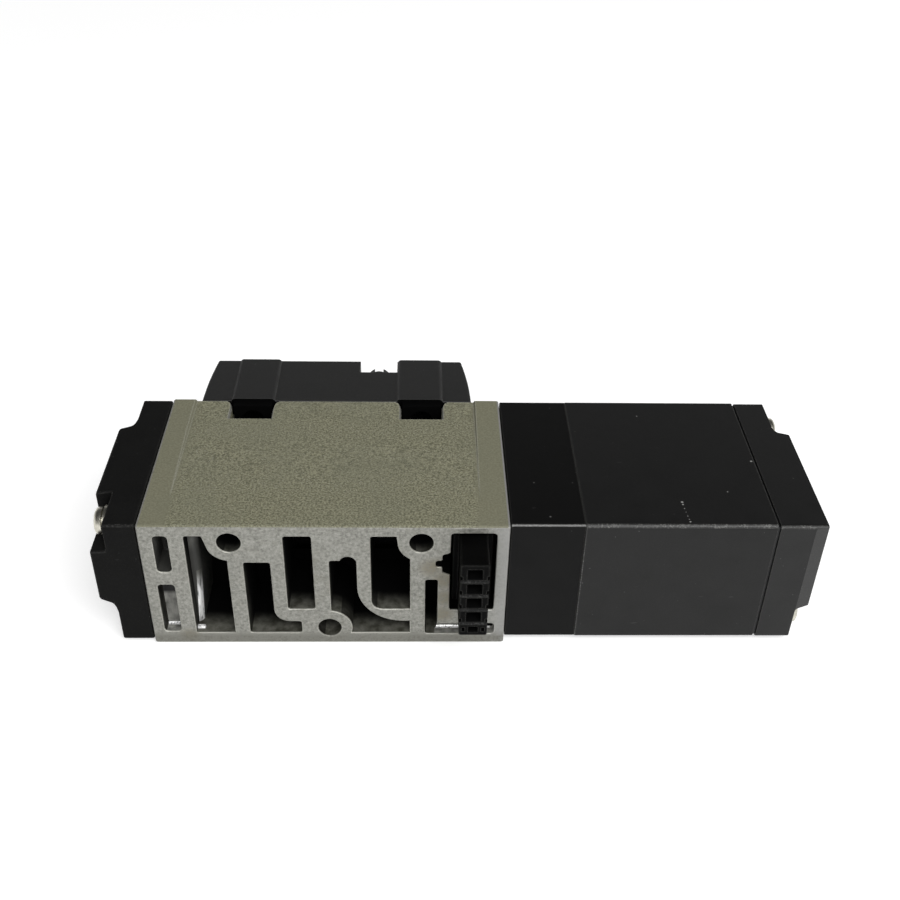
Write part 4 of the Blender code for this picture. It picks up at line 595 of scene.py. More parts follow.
def cast_material(name, share):
    """Bare die-cast metal inside the pockets, with painted shade that blackens it away from the face and
    higher up.
    """
    material, tree, shader = shader_material(name, 0.5, specular=0.05)
    flow = noise(tree, 1.4, 3.0, stretch=(1, 1, 2.5))
    fine = noise(tree, 0.3, 2.0)
    inwards = calculate(tree, "SUBTRACT", coordinate(tree, "Y"), DATUM.y)
    upwards = calculate(tree, "SUBTRACT", coordinate(tree, "Z"), DATUM.z)
    painted_shade = calculate(tree, "ADD", inwards, multiply(tree, upwards, PAINTED_SHADE_RISE))
    depth = remap(tree, painted_shade, 0.3 * MM, PAINTED_SHADE_DEPTH * MM, curve="SMOOTHSTEP")
    dark = tint(share, (0.060, 0.059, 0.046))
    pale = tint(share, (0.160, 0.158, 0.135))
    mouth = blend(tree, remap(tree, flow, 0.35, 0.65), dark, pale)
    colour = blend(tree, depth, mouth, (0.0015, 0.0015, 0.0015))
    tree.links.new(remap(tree, depth, 0.0, 0.7, 0.35, 0.0), shader.inputs["Metallic"])
    height = calculate(tree, "ADD", flow, multiply(tree, fine, 0.2))
    finish(tree, shader, colour, remap(tree, depth, 0.0, 0.7, 0.42, 0.95), height, 0.05, 0.5)
    return material


def highlight_casting_material():
    """Bright metal of a few edges inside the pockets: a painted highlight, with painted shade above a level.
    """
    material, tree, shader = shader_material("casting_painted_highlight", 0.35, metallic=0.4)
    flow = noise(tree, 0.8, 3.0, stretch=(0.5, 0.5, 3))
    colour = blend(tree, remap(tree, flow, 0.30, 0.50), (0.16, 0.165, 0.17), (0.86, 0.86, 0.85))
    top = DATUM.z + LEDGE_HIGHLIGHT_TOP * MM
    # Painted shade above the ledge's highlight level, painted highlight below it
    wear_and_sheen = remap(tree, coordinate(tree, "Z"), top, top - 6 * MM, curve="SMOOTHSTEP")
    colour = blend(tree, wear_and_sheen, (0.07, 0.07, 0.06), colour)
    finish(tree, shader, colour, remap(tree, flow, 0.3, 0.7, 0.45, 0.3), flow, 0.03, 0.4)
    return material


# Dust on the upper sides of the adapter and the pilot: (x, y, radius), and a run of specks as a scratch
DUST = ((64.2, 2.8, 0.28), (68.6, 11.5, 0.24), (62.3, 11.5, 0.26), (61.6, 13.0, 0.16), (59.8, 17.8, 0.18),
        (82.0, 30.5, 0.14), (93.5, 9.0, 0.14), (99.3, 17.3, 0.25))
SCRATCH = ((85.6, 6.3, 0.28), (85.62, 5.7, 0.2), (85.68, 4.7, 0.13), (85.76, 3.8, 0.1), (85.85, 2.8, 0.13),
           (85.95, 2.0, 0.12), (86.0, 1.4, 0.2))


def plastic_material(name, tone, roughness=0.5, specular=0.5, dust=1.0):
    """Moulded black plastic with a fine skin, worn edges, dust specks and hair scratches."""
    material, tree, shader = shader_material(name, roughness, specular=specular)
    skin = noise(tree, 0.16, 2.0)
    cloud = noise(tree, 5.0, 3.0)
    speck = noise(tree, 0.55, 1.0)
    scratch = noise(tree, 0.25, 1.0, stretch=(14, 3, 3))
    dark = tint(tone, (0.86, 0.86, 0.84))
    pale = tint(tone, (1.18, 1.18, 1.14))
    colour = blend(tree, remap(tree, cloud, 0.3, 0.7), dark, pale)
    colour = blend(tree, remap(tree, skin, 0.55, 0.75, 0.0, 0.5), colour, tint(3, pale))
    wear_and_sheen = multiply(tree, worn_edges(tree, 0.3), remap(tree, skin, 0.3, 0.6, 0.1, 0.5))
    colour = blend(tree, wear_and_sheen, colour, (0.09, 0.09, 0.083))
    colour = blend(tree, remap(tree, speck, 0.79, 0.83, 0.0, 0.3 * dust), colour, (0.16, 0.16, 0.155))
    colour = blend(tree, remap(tree, scratch, 0.78, 0.84, 0.0, 0.12 * dust), colour, (0.16, 0.16, 0.155))
    specks = [(x, y, HOUSING[1].z, radius) for x, y, radius in (*DUST, *SCRATCH)]
    colour = blend(tree, multiply(tree, spots(tree, specks), 0.9), colour, (0.30, 0.30, 0.29))
    rough = remap(tree, cloud, 0.3, 0.7, roughness - 0.07, roughness + 0.07)
    finish(tree, shader, colour, rough, skin, 0.01, 0.35)
    return material


def edge_highlight_material(name, tone, specular, wear):
    """Lighter edge of a black moulding, a painted highlight: glossier, with pale specks where the skin is
    worn off.
    """
    material, tree, shader = shader_material(name, 0.34, specular=specular)
    speck = noise(tree, 0.3, 2.0)
    patch = noise(tree, 3.0, 2.0)
    skin = noise(tree, 0.16, 2.0)
    worn = multiply(tree, remap(tree, speck, 0.50, 0.62, 0.0, wear), remap(tree, patch, 0.35, 0.6))
    colour = blend(tree, worn, tint(tone, (1, 1, 0.96)), (0.20, 0.20, 0.19))
    finish(tree, shader, colour, remap(tree, skin, 0.3, 0.7, 0.28, 0.42), speck, 0.012, 0.4)
    return material


def metal_material(name, colour, roughness):
    """Bare metal with turning marks and slight tarnish."""
    material, tree, shader = shader_material(name, roughness, metallic=1.0)
    mottle = noise(tree, 0.9, 3.0)
    marks = noise(tree, 0.08, 1.0)
    tarnished = blend(tree, remap(tree, mottle, 0.35, 0.75), colour, tint(0.62, colour))
    rough = remap(tree, marks, 0.3, 0.7, roughness - 0.06, roughness + 0.1)
    finish(tree, shader, tarnished, rough, marks, 0.004, 0.4)
    return material


def simple_material(name, colour, roughness, variation=0.2, specular=0.5):
    """Non-metal finish with a mottled tone and a fine skin."""
    material, tree, shader = shader_material(name, roughness, specular=specular)
    mottle = noise(tree, 1.2, 3.0)
    skin = noise(tree, 0.2, 2.0)
    dark = tint(1 - variation, colour)
    pale = tint(1 + variation, colour)
    mottled = blend(tree, remap(tree, mottle, 0.3, 0.7), dark, pale)
    rough = remap(tree, skin, 0.3, 0.7, roughness - 0.08, roughness + 0.08)
    finish(tree, shader, mottled, rough, skin, 0.008, 0.4)
    return material


def shaded_material(name, tone, start, end, shade):
    """Casting inside a shallow pocket, which darkens to a share of its tone between two levels."""
    material, tree, shader = shader_material(name, 0.5, specular=0.2)
    flow = noise(tree, 1.1, 3.0, stretch=(1, 1, 2))
    fine = noise(tree, 0.25, 2.0)
    dark = tint(tone, (0.45, 0.45, 0.41))
    pale = tint(tone, (1.5, 1.49, 1.36))
    colour = blend(tree, remap(tree, flow, 0.3, 0.7), dark, pale)
    level = remap(tree, coordinate(tree, "Z"), DATUM.z + start * MM, DATUM.z + end * MM)
    colour = blend(tree, level, colour, tint(shade, dark))
    finish(tree, shader, colour, remap(tree, fine, 0.3, 0.7, 0.42, 0.6), flow, 0.04, 0.5)
    return material


PAINT = paint_material()
MACHINED = machined_material("machined_face", 0.228)
# Lighter copy of the machined face for the rounded pocket lips and the flare chamfers: a painted highlight
RIM_HIGHLIGHT = machined_material("machined_rim_highlight", 0.38, 0.6)
CASTING = cast_material("bare_casting", 1.0)
# Darker copy of the casting for the pockets' left walls: painted shade
SHADED_CASTING = cast_material("casting_painted_shade", 0.3)
# Bright metal for the ledge, its foot and the bottom fillets of shallow pockets: a painted highlight
CASTING_HIGHLIGHT = highlight_casting_material()
SLOT_CASTING = shaded_material("slot_casting", 0.105, 21.5, 17.0, 0.8)
RELIEF_CASTING = shaded_material("relief_casting", 0.18, 8.4, 9.2, 0.1)
# Near-black lining for the plug pocket, the end of the vent run and the connector's sockets and pin holes:
# painted shade
PAINTED_SHADE_BLACK = simple_material("painted_shade_black", (0.0025, 0.0025, 0.0025), 0.75, specular=0.05)
END_BLACK = plastic_material("black_end_plate", 0.0058, specular=0.04)
# Lighter edge materials: painted highlights on edges that face the light, with worn specks
END_EDGE = edge_highlight_material("black_end_plate_edge_highlight", 0.010, 0.10, 0.10)
ADAPTER_BLACK = plastic_material("black_adapter", 0.0016, specular=0.12, dust=0.7)
ADAPTER_EDGE = edge_highlight_material("black_adapter_edge_highlight", 0.060, 0.70, 0.5)
HOUSING_BLACK = plastic_material("black_pilot", 0.0035, specular=0.27)
HOUSING_EDGE = edge_highlight_material("black_pilot_edge_highlight", 0.028, 0.30, 0.45)
CAP_BLACK = plastic_material("black_pilot_cap", 0.0035, specular=0.33)
# Lighter copy of the cap's plastic for the tapered front of its boss: painted light
CAP_TAPER_LIGHT = plastic_material("black_pilot_cap_taper_painted_light", 0.018, specular=0.45)
COVER_BLACK = plastic_material("black_cover", 0.0100, 0.55, specular=0.4)
# Near-black copy of the cover's plastic for its underside, hollows and holes: painted shade
COVER_SHADE = simple_material("black_cover_painted_shade", (0.0012, 0.0012, 0.0013), 0.85, specular=0.04)
PLUG_BLACK = plastic_material("black_connector", 0.0022, 0.48, specular=0.03, dust=1.0)
PLUG_EDGE = edge_highlight_material("black_connector_edge_highlight", 0.005, 0.07, 0.15)
STEEL = metal_material("plated_steel", (0.62, 0.60, 0.52), 0.28)

SLOT_MATERIALS = {
    "black_plastic": PLUG_BLACK,
    "steel": STEEL,
    "spring_steel": metal_material("spring_wire", (0.50, 0.50, 0.50), 0.30),
    "soft_iron": metal_material("soft_iron", (0.44, 0.43, 0.42), 0.38),
    "aluminium": metal_material("turned_aluminium", (0.70, 0.70, 0.69), 0.32),
    "brass": metal_material("brass", (0.72, 0.52, 0.22), 0.28),
    "rubber": simple_material("black_rubber", (0.013, 0.013, 0.014), 0.62),
    "copper": metal_material("enamelled_copper", (0.62, 0.26, 0.12), 0.30),
    "nylon": simple_material("natural_nylon", (0.58, 0.55, 0.46), 0.45, 0.08),
    "board": simple_material("board_green", (0.030, 0.110, 0.045), 0.40),
    "led": simple_material("led_red", (0.42, 0.025, 0.020), 0.18, 0.1),
    "lens": simple_material("lens_smoke", (0.060, 0.016, 0.014), 0.12, 0.1),
    "insulation": simple_material("lead_insulation", (0.30, 0.028, 0.022), 0.45),
}
# The spool sleeve is near black: painted shade deep in the bore
NODE_MATERIALS = {"spool_sleeve": metal_material("sleeve_steel_painted_shade", (0.020, 0.020, 0.021), 0.60)}


# Cast body

def around_mount(hole, right, reach, corner):
    """Side of a port that runs around a mounting hole, then straight to the port's upper corner."""
    side = (right, hole[1] - chord(MOUNT_WALL, hole[0] - right))
    turn = (hole[0] - reach, hole[1] - chord(MOUNT_WALL, reach))
    return arc_between(hole, MOUNT_WALL, side, turn) + [(corner, PORT_TOP)]


def exhaust_a_outline():
    left, right = 7.1, 13.4
    return ([(left, PORT_LOW), (right, PORT_LOW)] + around_mount(MOUNTS[0][:2], right, 3.4, 9.85)
            + arc((left + 0.4, PORT_TOP - 0.4), 0.4, 90, 180))


def outlet_a_outline():
    return rounded([(15.9, PORT_LOW, 0.4), (24.4, PORT_LOW, 0.4), (24.4, 4.2, 0.4), (20.1, 4.2, 2.5),
                    (20.1, 17.0, 0.4), (15.9, 17.0, 0.4)])


def supply_outline():
    return rectangle((22.4, 7.0), (26.8, PORT_TOP), 0.4)


def outlet_b_outline():
    hole = MOUNTS[2][:2]
    left, right, toe, foot, top = 29.4, 33.7, 42.15, 4.3, 17.4
    bulge, drop, sweep_radius = 1.35, 0.5, 7.3
    low = (hole[0] + chord(MOUNT_WALL, hole[1] - PORT_LOW), PORT_LOW)
    side = (left, hole[1] + chord(MOUNT_WALL, left - hole[0]))
    centre = (right - bulge, top - drop)
    shoulder = (centre[0] - chord(bulge, drop), top)
    return ([(toe, PORT_LOW), (toe, foot)]
            + arc((right + sweep_radius, foot + sweep_radius), sweep_radius, 270, 180, 2 * ARC_STEPS)
            + arc_between(centre, bulge, (right, centre[1]), shoulder, clockwise=False)
            + arc((left + 0.4, top - 0.4), 0.4, 90, 180)
            + arc_between(hole, MOUNT_WALL, side, low))


def exhaust_b_outline():
    left, right, low, corner = 36.0, 42.2, 7.0, 1.7
    return (arc((left + corner, low + corner), corner, 180, 270) + [(right, low)]
            + around_mount(MOUNTS[1][:2], right, 3.7, 40.1)
            + arc((left + 0.4, PORT_TOP - 0.4), 0.4, 90, 180))


def plug_pocket_outline():
    left, right, low, top = 48.6, 55.8, 6.85, 23.1
    key_low, key_top, key_x, slope = 14.5, 19.1, 47.35, 0.5
    nib_low, nib_top, nib_x = 16.15, 17.45, 46.3
    inner, outer = 0.3, 0.4
    return rounded([
        (left, low, outer), (right, low, outer), (right, top, 0.6), (left, top, 0.6), (left, key_top, inner),
        (key_x, key_top - slope, outer), (key_x, nib_top, inner), (nib_x, nib_top, outer),
        (nib_x, nib_low, outer), (key_x, nib_low, inner), (key_x, key_low + slope, outer),
        (left, key_low, inner),
    ])


def open_recess(x, z, way, radius, end, steps):
    """Outline of a half-round recess about (x, z), open to one side up to an end level."""
    turn = 180 if way > 0 else 0
    return arc((x, z), radius, turn, turn + 180, steps) + [(x + way * radius, end), (x - way * radius, end)]


def head_recess_cutters(number, x, z, way):
    """Recess for a mounting screw's head, open to one side, with flared and chamfered outer corners."""
    near = BODY.y - HEAD_DEPTH
    far = BODY.y + OVERLAP
    side = BODY.z - PANEL_DROP if way > 0 else BODY_LOW.z
    end = side + way * 2 * OVERLAP
    outline = open_recess(x, z, way, HEAD_RECESS, end, 3 * ARC_STEPS)
    recess = prism(f"cut_head_{number}", outline, "Y", (near, far), PAINT)
    wide = HEAD_RECESS + FLARE_WIDTH
    bend = (FLARE_WIDTH, FLARE_LENGTH)
    flare_y = BODY.y - FLARE_LENGTH
    plan = ([(x - HEAD_RECESS, near)] + arc((x - wide, flare_y), bend, 0, 90)
            + [(x - wide, far), (x + wide, far)]
            + arc((x + wide, flare_y), bend, 90, 180) + [(x + HEAD_RECESS, near)])
    profile = [(z, 0.0), (side - way * FLARE_CHAMFER, 0.0), (side + way * FLARE_CHAMFER, FLARE_CHAMFER),
               (end, FLARE_CHAMFER)]
    # The flare's chamfer takes the rim's painted highlight
    flare = sweep(f"cut_flare_{number}", plan, "Z", profile, [PAINT, RIM_HIGHLIGHT], [0, 0, 1, 1, 0])
    return [recess, flare]


def panel_cutter():
    """Wedge that sinks the textured panel of the upper side towards its far edge."""
    far = BODY.y + OVERLAP
    drop = PANEL_DROP * (far - PANEL_NEAR) / (BODY.y - PANEL_NEAR)
    floor = [(PANEL_LEFT, PANEL_NEAR, BODY.z), (PANEL_RIGHT, PANEL_NEAR, BODY.z),
             (PANEL_RIGHT, far, BODY.z - drop), (PANEL_LEFT, far, BODY.z - drop)]
    roof = [(x + math.copysign(2 * PANEL_SLOPE, x - BODY.x / 2), y, BODY.z + OVERLAP) for x, y, z in floor]
    return loft("cut_panel", [floor, roof], [PAINT])


def ledge():
    """Step with a foot along the left wall of the first exhaust port, with a painted highlight on its lower
    corner.
    """
    left, front, back, foot_right, top_right, corner = 6.0, 2.6, 13.5, 7.9, 8.6, 1.1
    low = PORT_LOW - 0.3
    rings = []
    for right, z in ((foot_right, low), (top_right, LEDGE_HIGHLIGHT_TOP), (top_right, PORT_TOP + 0.2)):
        plan = rounded([(left, front, 0), (right, front, corner), (right, back, 0), (left, back, 0)])
        rings.append([(x, y, z) for x, y in plan])
    step = loft("ledge", rings, [SLOT_CASTING, CASTING_HIGHLIGHT])
    tag_faces(step, 1, lambda normal, centre: normal.y < -0.2 and normal.x > 0.2
              and centre.z < LEDGE_HIGHLIGHT_TOP)
    foot = block("ledge_foot", (6.9, 0.9, low), (8.4, 1.7, 2.1), "X", 0.25, (0.2, 0.2), [CASTING_HIGHLIGHT])
    return [step, foot]


def make_body():
    body = block("cast_valve_body", BODY_LOW, BODY, "X", BODY_CORNER, (END_ROUND, END_ROUND),
                 [PAINT, MACHINED])
    tag_faces(body, 1, lambda normal, centre: normal.y < -0.8 or abs(normal.x) > 0.2)
    deep = [RIM_HIGHLIGHT, CASTING, CASTING]
    shallow = [RIM_HIGHLIGHT, RELIEF_CASTING, CASTING_HIGHLIGHT]
    black = [RIM_HIGHLIGHT, PAINTED_SHADE_BLACK, PAINTED_SHADE_BLACK]
    ports = {"exhaust_a": exhaust_a_outline(), "outlet_a": outlet_a_outline(), "supply": supply_outline(),
             "outlet_b": outlet_b_outline(), "exhaust_b": exhaust_b_outline()}
    cuts = [panel_cutter()]
    cuts += [pocket("cut_" + name, outline, PORT_DEPTH, deep) for name, outline in ports.items()]
    cuts.append(pocket("cut_plug", plug_pocket_outline(), PLUG_POCKET_DEPTH, black))
    cuts.append(pocket("cut_slot", rectangle(*SLOT), SLOT_DEPTH, [RIM_HIGHLIGHT, SLOT_CASTING, SLOT_CASTING]))
    relief = pocket("cut_relief", rectangle(*RELIEF), RELIEF_DEPTH, shallow, WIDE_FILLET)
    cuts.append(pocket("cut_vent", rectangle(*VENT), VENT_DEPTH, deep))
    run = pocket("cut_vent_run", rectangle(*VENT_RUN), RUN_DEPTH, shallow, WIDE_FILLET)
    cuts.append(pocket("cut_run_end", rectangle(*RUN_END), RUN_END_DEPTH, black))
    # Only the fillets along the bottom walls keep the painted highlight
    for cutter in (relief, run):
        tag_faces(cutter, 1, lambda normal, centre: centre.y > 1 and normal.x > -0.5
                  and (normal.z > -0.3 or centre.x > 50.5))
    cuts += [relief, run]
    end, far = BODY.x + OVERLAP, BODY.y + OVERLAP
    for number, (x, z, way) in enumerate(MOUNTS, 1):
        cuts.append(pocket(f"cut_mount_{number}", circle((x, z), MOUNT_HOLE), far, deep))
        cuts += head_recess_cutters(number, x, z, way)
    cuts.append(drill("cut_bore", "X", AXIS, (-OVERLAP, BORE_END), BORE, CASTING))
    cuts.append(drill("cut_tail_bore", "X", AXIS, (BORE_END - OVERLAP, end), TAIL_BORE, CASTING))
    cuts += drill_each("end_tap", END_SCREWS, (-OVERLAP, END_TAP), TAPPED, CASTING)
    cuts += drill_each("pilot_tap", PILOT_SCREWS, (PILOT_TAP, end), TAPPED, CASTING)
    cuts += drill_each("coil_lead", COIL_LEADS, (COIL_LEAD_START, end), LEAD_HOLE, CASTING)
    low, high = BOARD_LEADS
    channel = rectangle((low.x - LEAD_GAP, low.z - LEAD_GAP), (high.x + LEAD_GAP, high.z + LEAD_GAP))
    cuts.append(prism("cut_lead_channel", channel, "Y", (CHANNEL_START, far), CASTING))
    cuts.append(drill("cut_override", "Y", OVERRIDE, (OVERRIDE_FLOOR, far), OVERRIDE_HOLE, CASTING))
    combine(body, cuts)
    combine(body, ledge(), "UNION")
    place_piece(body, "housing", "painted_casting", "valve_body")


# Black mouldings

def corner_cut(name, stations, y_out, z_out, material):
    """Cutter for a corner recess, whose walls are at y and z at each (x, y, z) station."""
    rings = [[(x, y, z), (x, y_out, z), (x, y_out, z_out), (x, y, z_out)] for x, y, z in stations]
    return loft(name, rings, [material])


def recess_walls(outer, flange, y_wall, z_wall, slope, fillet):
    """Stations of a recess whose walls close in by a slope, and curve into the flange by a fillet."""
    away = 1 if flange > outer else -1
    return [(outer - away * OVERLAP, y_wall, z_wall),
            (flange - away * 0.5, y_wall - slope, z_wall - slope),
            (flange - away * 0.2, y_wall - slope - 0.4 * fillet, z_wall - slope - 0.4 * fillet),
            (flange, y_wall - slope - fillet, z_wall - slope - fillet)]


def mirrored(stations):
    """Stations of the same recess at the opposite corner."""
    return [(x, BODY.y - y, BODY.z - z) for x, y, z in stations]


def screw(name, at, head, seat, tip):
    """Pan-head screw along X with a washer, from its head's outer end over its seat to its tip."""
    way = math.copysign(1, tip - seat)
    profile = [(head, 0.0), (head, 1.5), (head + way * 0.08, 1.85), (head + way * 0.3, 2.15),
               (head + way * 0.65, SCREW_HEAD), (seat - way * 0.75, SCREW_HEAD), (seat - way * 0.7, 1.75),
               (seat - way * 0.45, 1.75), (seat - way * 0.4, SCREW_HEAD + 0.25), (seat, SCREW_HEAD + 0.25),
               (seat, SCREW_SHANK)]
    pitch = 0.5
    turns = int(abs(tip - seat) / pitch) - 1
    for turn in range(turns):
        x = seat + way * (0.4 + pitch * turn)
        profile += [(x, SCREW_SHANK), (x + way * pitch / 2, SCREW_SHANK - 0.22)]
    profile += [(tip - way * 0.5, SCREW_SHANK - 0.1), (tip, 0.8), (tip, 0.0)]
    body = turned(name, "X", at, profile, [STEEL])
    span = (head - way * OVERLAP, head + way * 1.1)
    cross = [prism(f"cut_{name}_{number}", rectangle((at[0] - y, at[1] - z), (at[0] + y, at[1] + z)), "X",
                   span, STEEL) for number, (y, z) in enumerate(((1.4, 0.34), (0.34, 1.4)), 1)]
    return combine(body, cross)


def make_end_plate():
    low, high = END_PLATE
    low = Vector((low.x, low.y, low.z - END_PLATE_DROP))
    plate = block("end_plate_moulding", low, high, "X", 0.5, (0.45, 0.3), [END_BLACK, END_EDGE])
    screw_room = [(low.x - OVERLAP, 8.1, BODY.z - 5.7), (END_FLANGE, 8.9, BODY.z - 5.5)]
    open_room = recess_walls(low.x, END_FLANGE, 9.6, 9.3, 1.5, 2.0)
    near, far_y, far_z = -OVERLAP, BODY.y + OVERLAP, BODY.z + OVERLAP
    cuts = [
        corner_cut("cut_near_top", screw_room, near, far_z, END_BLACK),
        corner_cut("cut_far_low", mirrored(screw_room), far_y, near, END_BLACK),
        corner_cut("cut_near_low", open_room, near, near, END_BLACK),
        corner_cut("cut_far_top", mirrored(open_room), far_y, far_z, END_BLACK),
    ]
    combine(plate, cuts)
    soften(plate, 0.3)
    tag_faces(plate, 1, top_front_edge)
    holes = drill_each("end_screw", END_SCREWS, (low.x - OVERLAP, OVERLAP), TAPPED, END_BLACK)
    holes.append(drill("cut_spring_pocket", "X", AXIS, (SPRING_FLOOR, OVERLAP), SPRING_POCKET, END_BLACK))
    combine(plate, holes)
    place_piece(plate, "housing", "black_plastic", "end_plate")
    for number, at in enumerate(END_SCREWS, 1):
        name = f"end_plate_screw_{number}"
        head, tip = (corner.x for corner in node_box(name))
        made = screw(f"pan_head_screw_{number}", at, head, END_FLANGE - SEAT_GAP, tip)
        place_piece(made, "housing", "steel", name)


def make_adapter():
    low, high = ADAPTER
    end = Vector((HOUSING[0].x, high.y, high.z))
    plate = block("adapter_moulding", low, end, "X", 0.4, (0.15, 0.0), [ADAPTER_BLACK, ADAPTER_EDGE])
    tag_faces(plate, 1, top_front_edge)
    span = (low.x - OVERLAP, end.x + OVERLAP)
    cuts = [drill("cut_piston_bore", "X", AXIS, (span[0], CHAMBER_END), PISTON_BORE, ADAPTER_BLACK),
            drill("cut_passage", "X", AXIS, span, PASSAGE, ADAPTER_BLACK)]
    cuts += drill_each("adapter_screw", PILOT_SCREWS, span, TAPPED, ADAPTER_BLACK)
    cuts += drill_each("adapter_lead", COIL_LEADS, span, LEAD_HOLE, ADAPTER_BLACK)
    combine(plate, cuts)
    place_piece(plate, "housing", "black_plastic", "adapter_plate")


def make_housing():
    low, high = HOUSING
    high = Vector((GASKET[0].x, high.y, high.z))
    shell = block("pilot_moulding", low, high, "X", 0.7, (0.2, 0.12), [HOUSING_BLACK, HOUSING_EDGE])
    tag_faces(shell, 1, top_front_edge)
    # The left front edge takes the painted edge highlight too
    tag_faces(shell, 1, lambda normal, centre: -0.95 < normal.x < -0.2 and normal.y < -0.2)
    span = (low.x - OVERLAP, high.x + OVERLAP)
    room = (CAVITY_X, span[1])
    yoke = rectangle((AXIS[0] - 11.6, AXIS[1] - 6.7), (AXIS[0] + 10.9, AXIS[1] + 6.7))
    cuts = [drill("cut_coil_room", "X", AXIS, room, COIL_ROOM, HOUSING_BLACK),
            drill("cut_seat", "X", AXIS, (span[0], CAVITY_X + OVERLAP), SEAT_HOLE, HOUSING_BLACK),
            prism("cut_yoke_room", yoke, "X", room, HOUSING_BLACK)]
    cuts += drill_each("housing_screw", PILOT_SCREWS, span, TAPPED, HOUSING_BLACK)
    cuts += drill_each("housing_lead", COIL_LEADS, span, LEAD_HOLE, HOUSING_BLACK)
    combine(shell, cuts)
    place_piece(shell, "housing", "black_plastic", "pilot_housing")


def make_cap():
    low, high = CAP
    start = GASKET[1].x
    outline = rectangle((low.y, low.z), (high.y, high.z), 0.6)
    cap = prism("pilot_cap_moulding", outline, "X", (start, high.x), CAP_BLACK)
    cap.data.materials.append(HOUSING_EDGE)
    far_room = recess_walls(high.x, CAP_FLANGE + CAP_STEPS[0], 10.4, 7.7, 1.1, 1.2)
    near_room = recess_walls(high.x, CAP_FLANGE + CAP_STEPS[1], 10.4, 7.7, 0.9, 0.4)
    cuts = [
        corner_cut("cut_cap_near_low", near_room, -OVERLAP, -OVERLAP, CAP_BLACK),
        corner_cut("cut_cap_far_top", mirrored(far_room), BODY.y + OVERLAP, BODY.z + OVERLAP, CAP_BLACK),
    ]
    combine(cap, cuts)
    soften(cap, 0.14, 25.0)
    tag_faces(cap, 1, top_front_edge)
    # The tapered boss front takes the lighter plastic as painted light
    wedge = [(CAP_TAPER, low.y), (high.x + OVERLAP, low.y + 0.4), (high.x + OVERLAP, low.y - OVERLAP),
             (CAP_TAPER, low.y - OVERLAP)]
    combine(cap, [prism("cut_cap_taper", wedge, "Z", (-OVERLAP, BODY.z + OVERLAP), CAP_TAPER_LIGHT)])
    span = (start - OVERLAP, high.x + OVERLAP)
    seat = CAP_FLANGE + SEAT_GAP
    holes = drill_each("cap_screw", PILOT_SCREWS, span, TAPPED, CAP_BLACK)
    holes += drill_each("cap_seat", PILOT_SCREWS, (seat, span[1]), SEAT_ROOM, CAP_BLACK)
    combine(cap, holes)
    combine(cap, [drill("cap_pad", "X", AXIS, (low.x, start + OVERLAP), CAP_PAD, CAP_BLACK)], "UNION")
    place_piece(cap, "housing", "black_plastic", "pilot_end_cap")
    for number, at in enumerate(PILOT_SCREWS, 1):
        name = f"pilot_screw_{number}"
        tip, head = (corner.x for corner in node_box(name))
        made = screw(f"long_screw_{number}", at, head, seat, tip)
        place_piece(made, "housing", "steel", name)


# Cover, override button and connector

def swelling(base_x, top_x, swell):
    """Points of a cover end from its base to its top, swollen outwards by an arc."""
    points = []
    for i in range(ARC_STEPS + 1):
        share = i / ARC_STEPS
        x = base_x + (top_x - base_x) * share + swell * math.sin(math.pi * share)
        points.append((x, COVER_BASE + (COVER[1].y - COVER_BASE) * share, 0.4 if i == ARC_STEPS else 0.0))
    return points


def cover_cavity(top):
    """Room under the cover, around the screw columns, the notch and the posts of the board."""
    low_z, high_z = COVER_SIDES
    outline = [(6.4, COVER_BASE - OVERLAP), (51.4, COVER_BASE - OVERLAP), (50.2, top), (7.6, top)]
    room = prism("cut_cavity", outline, "Z", (low_z + COVER_WALL, high_z - COVER_WALL), COVER_SHADE)
    span = (COVER_BASE - 2 * OVERLAP, top + OVERLAP)
    kept = []
    for number, (x, z, way) in enumerate(MOUNTS, 1):
        inner, outer = sorted((z - way * COLUMN, z + way * 9))
        column = rectangle((x - COLUMN, inner), (x + COLUMN, outer), 0.6)
        kept.append(prism(f"column_{number}", column, "Y", span, COVER_SHADE))
    notch = rectangle((NOTCH[0] - COVER_WALL, NOTCH_LOW_Z - COVER_WALL), (NOTCH[1] + COVER_WALL, BODY.z))
    kept.append(prism("notch_floor", notch, "Y", (NOTCH_FLOOR - COVER_WALL, span[1]), COVER_SHADE))
    post = (node_box("circuit_board")[1].y + 0.2, span[1])
    for number, x in enumerate(BOARD_POSTS, 1):
        kept.append(drill(f"post_{number}", "Y", (x, AXIS[1]), post, BOARD_POST, COVER_SHADE))
    return combine(room, kept)


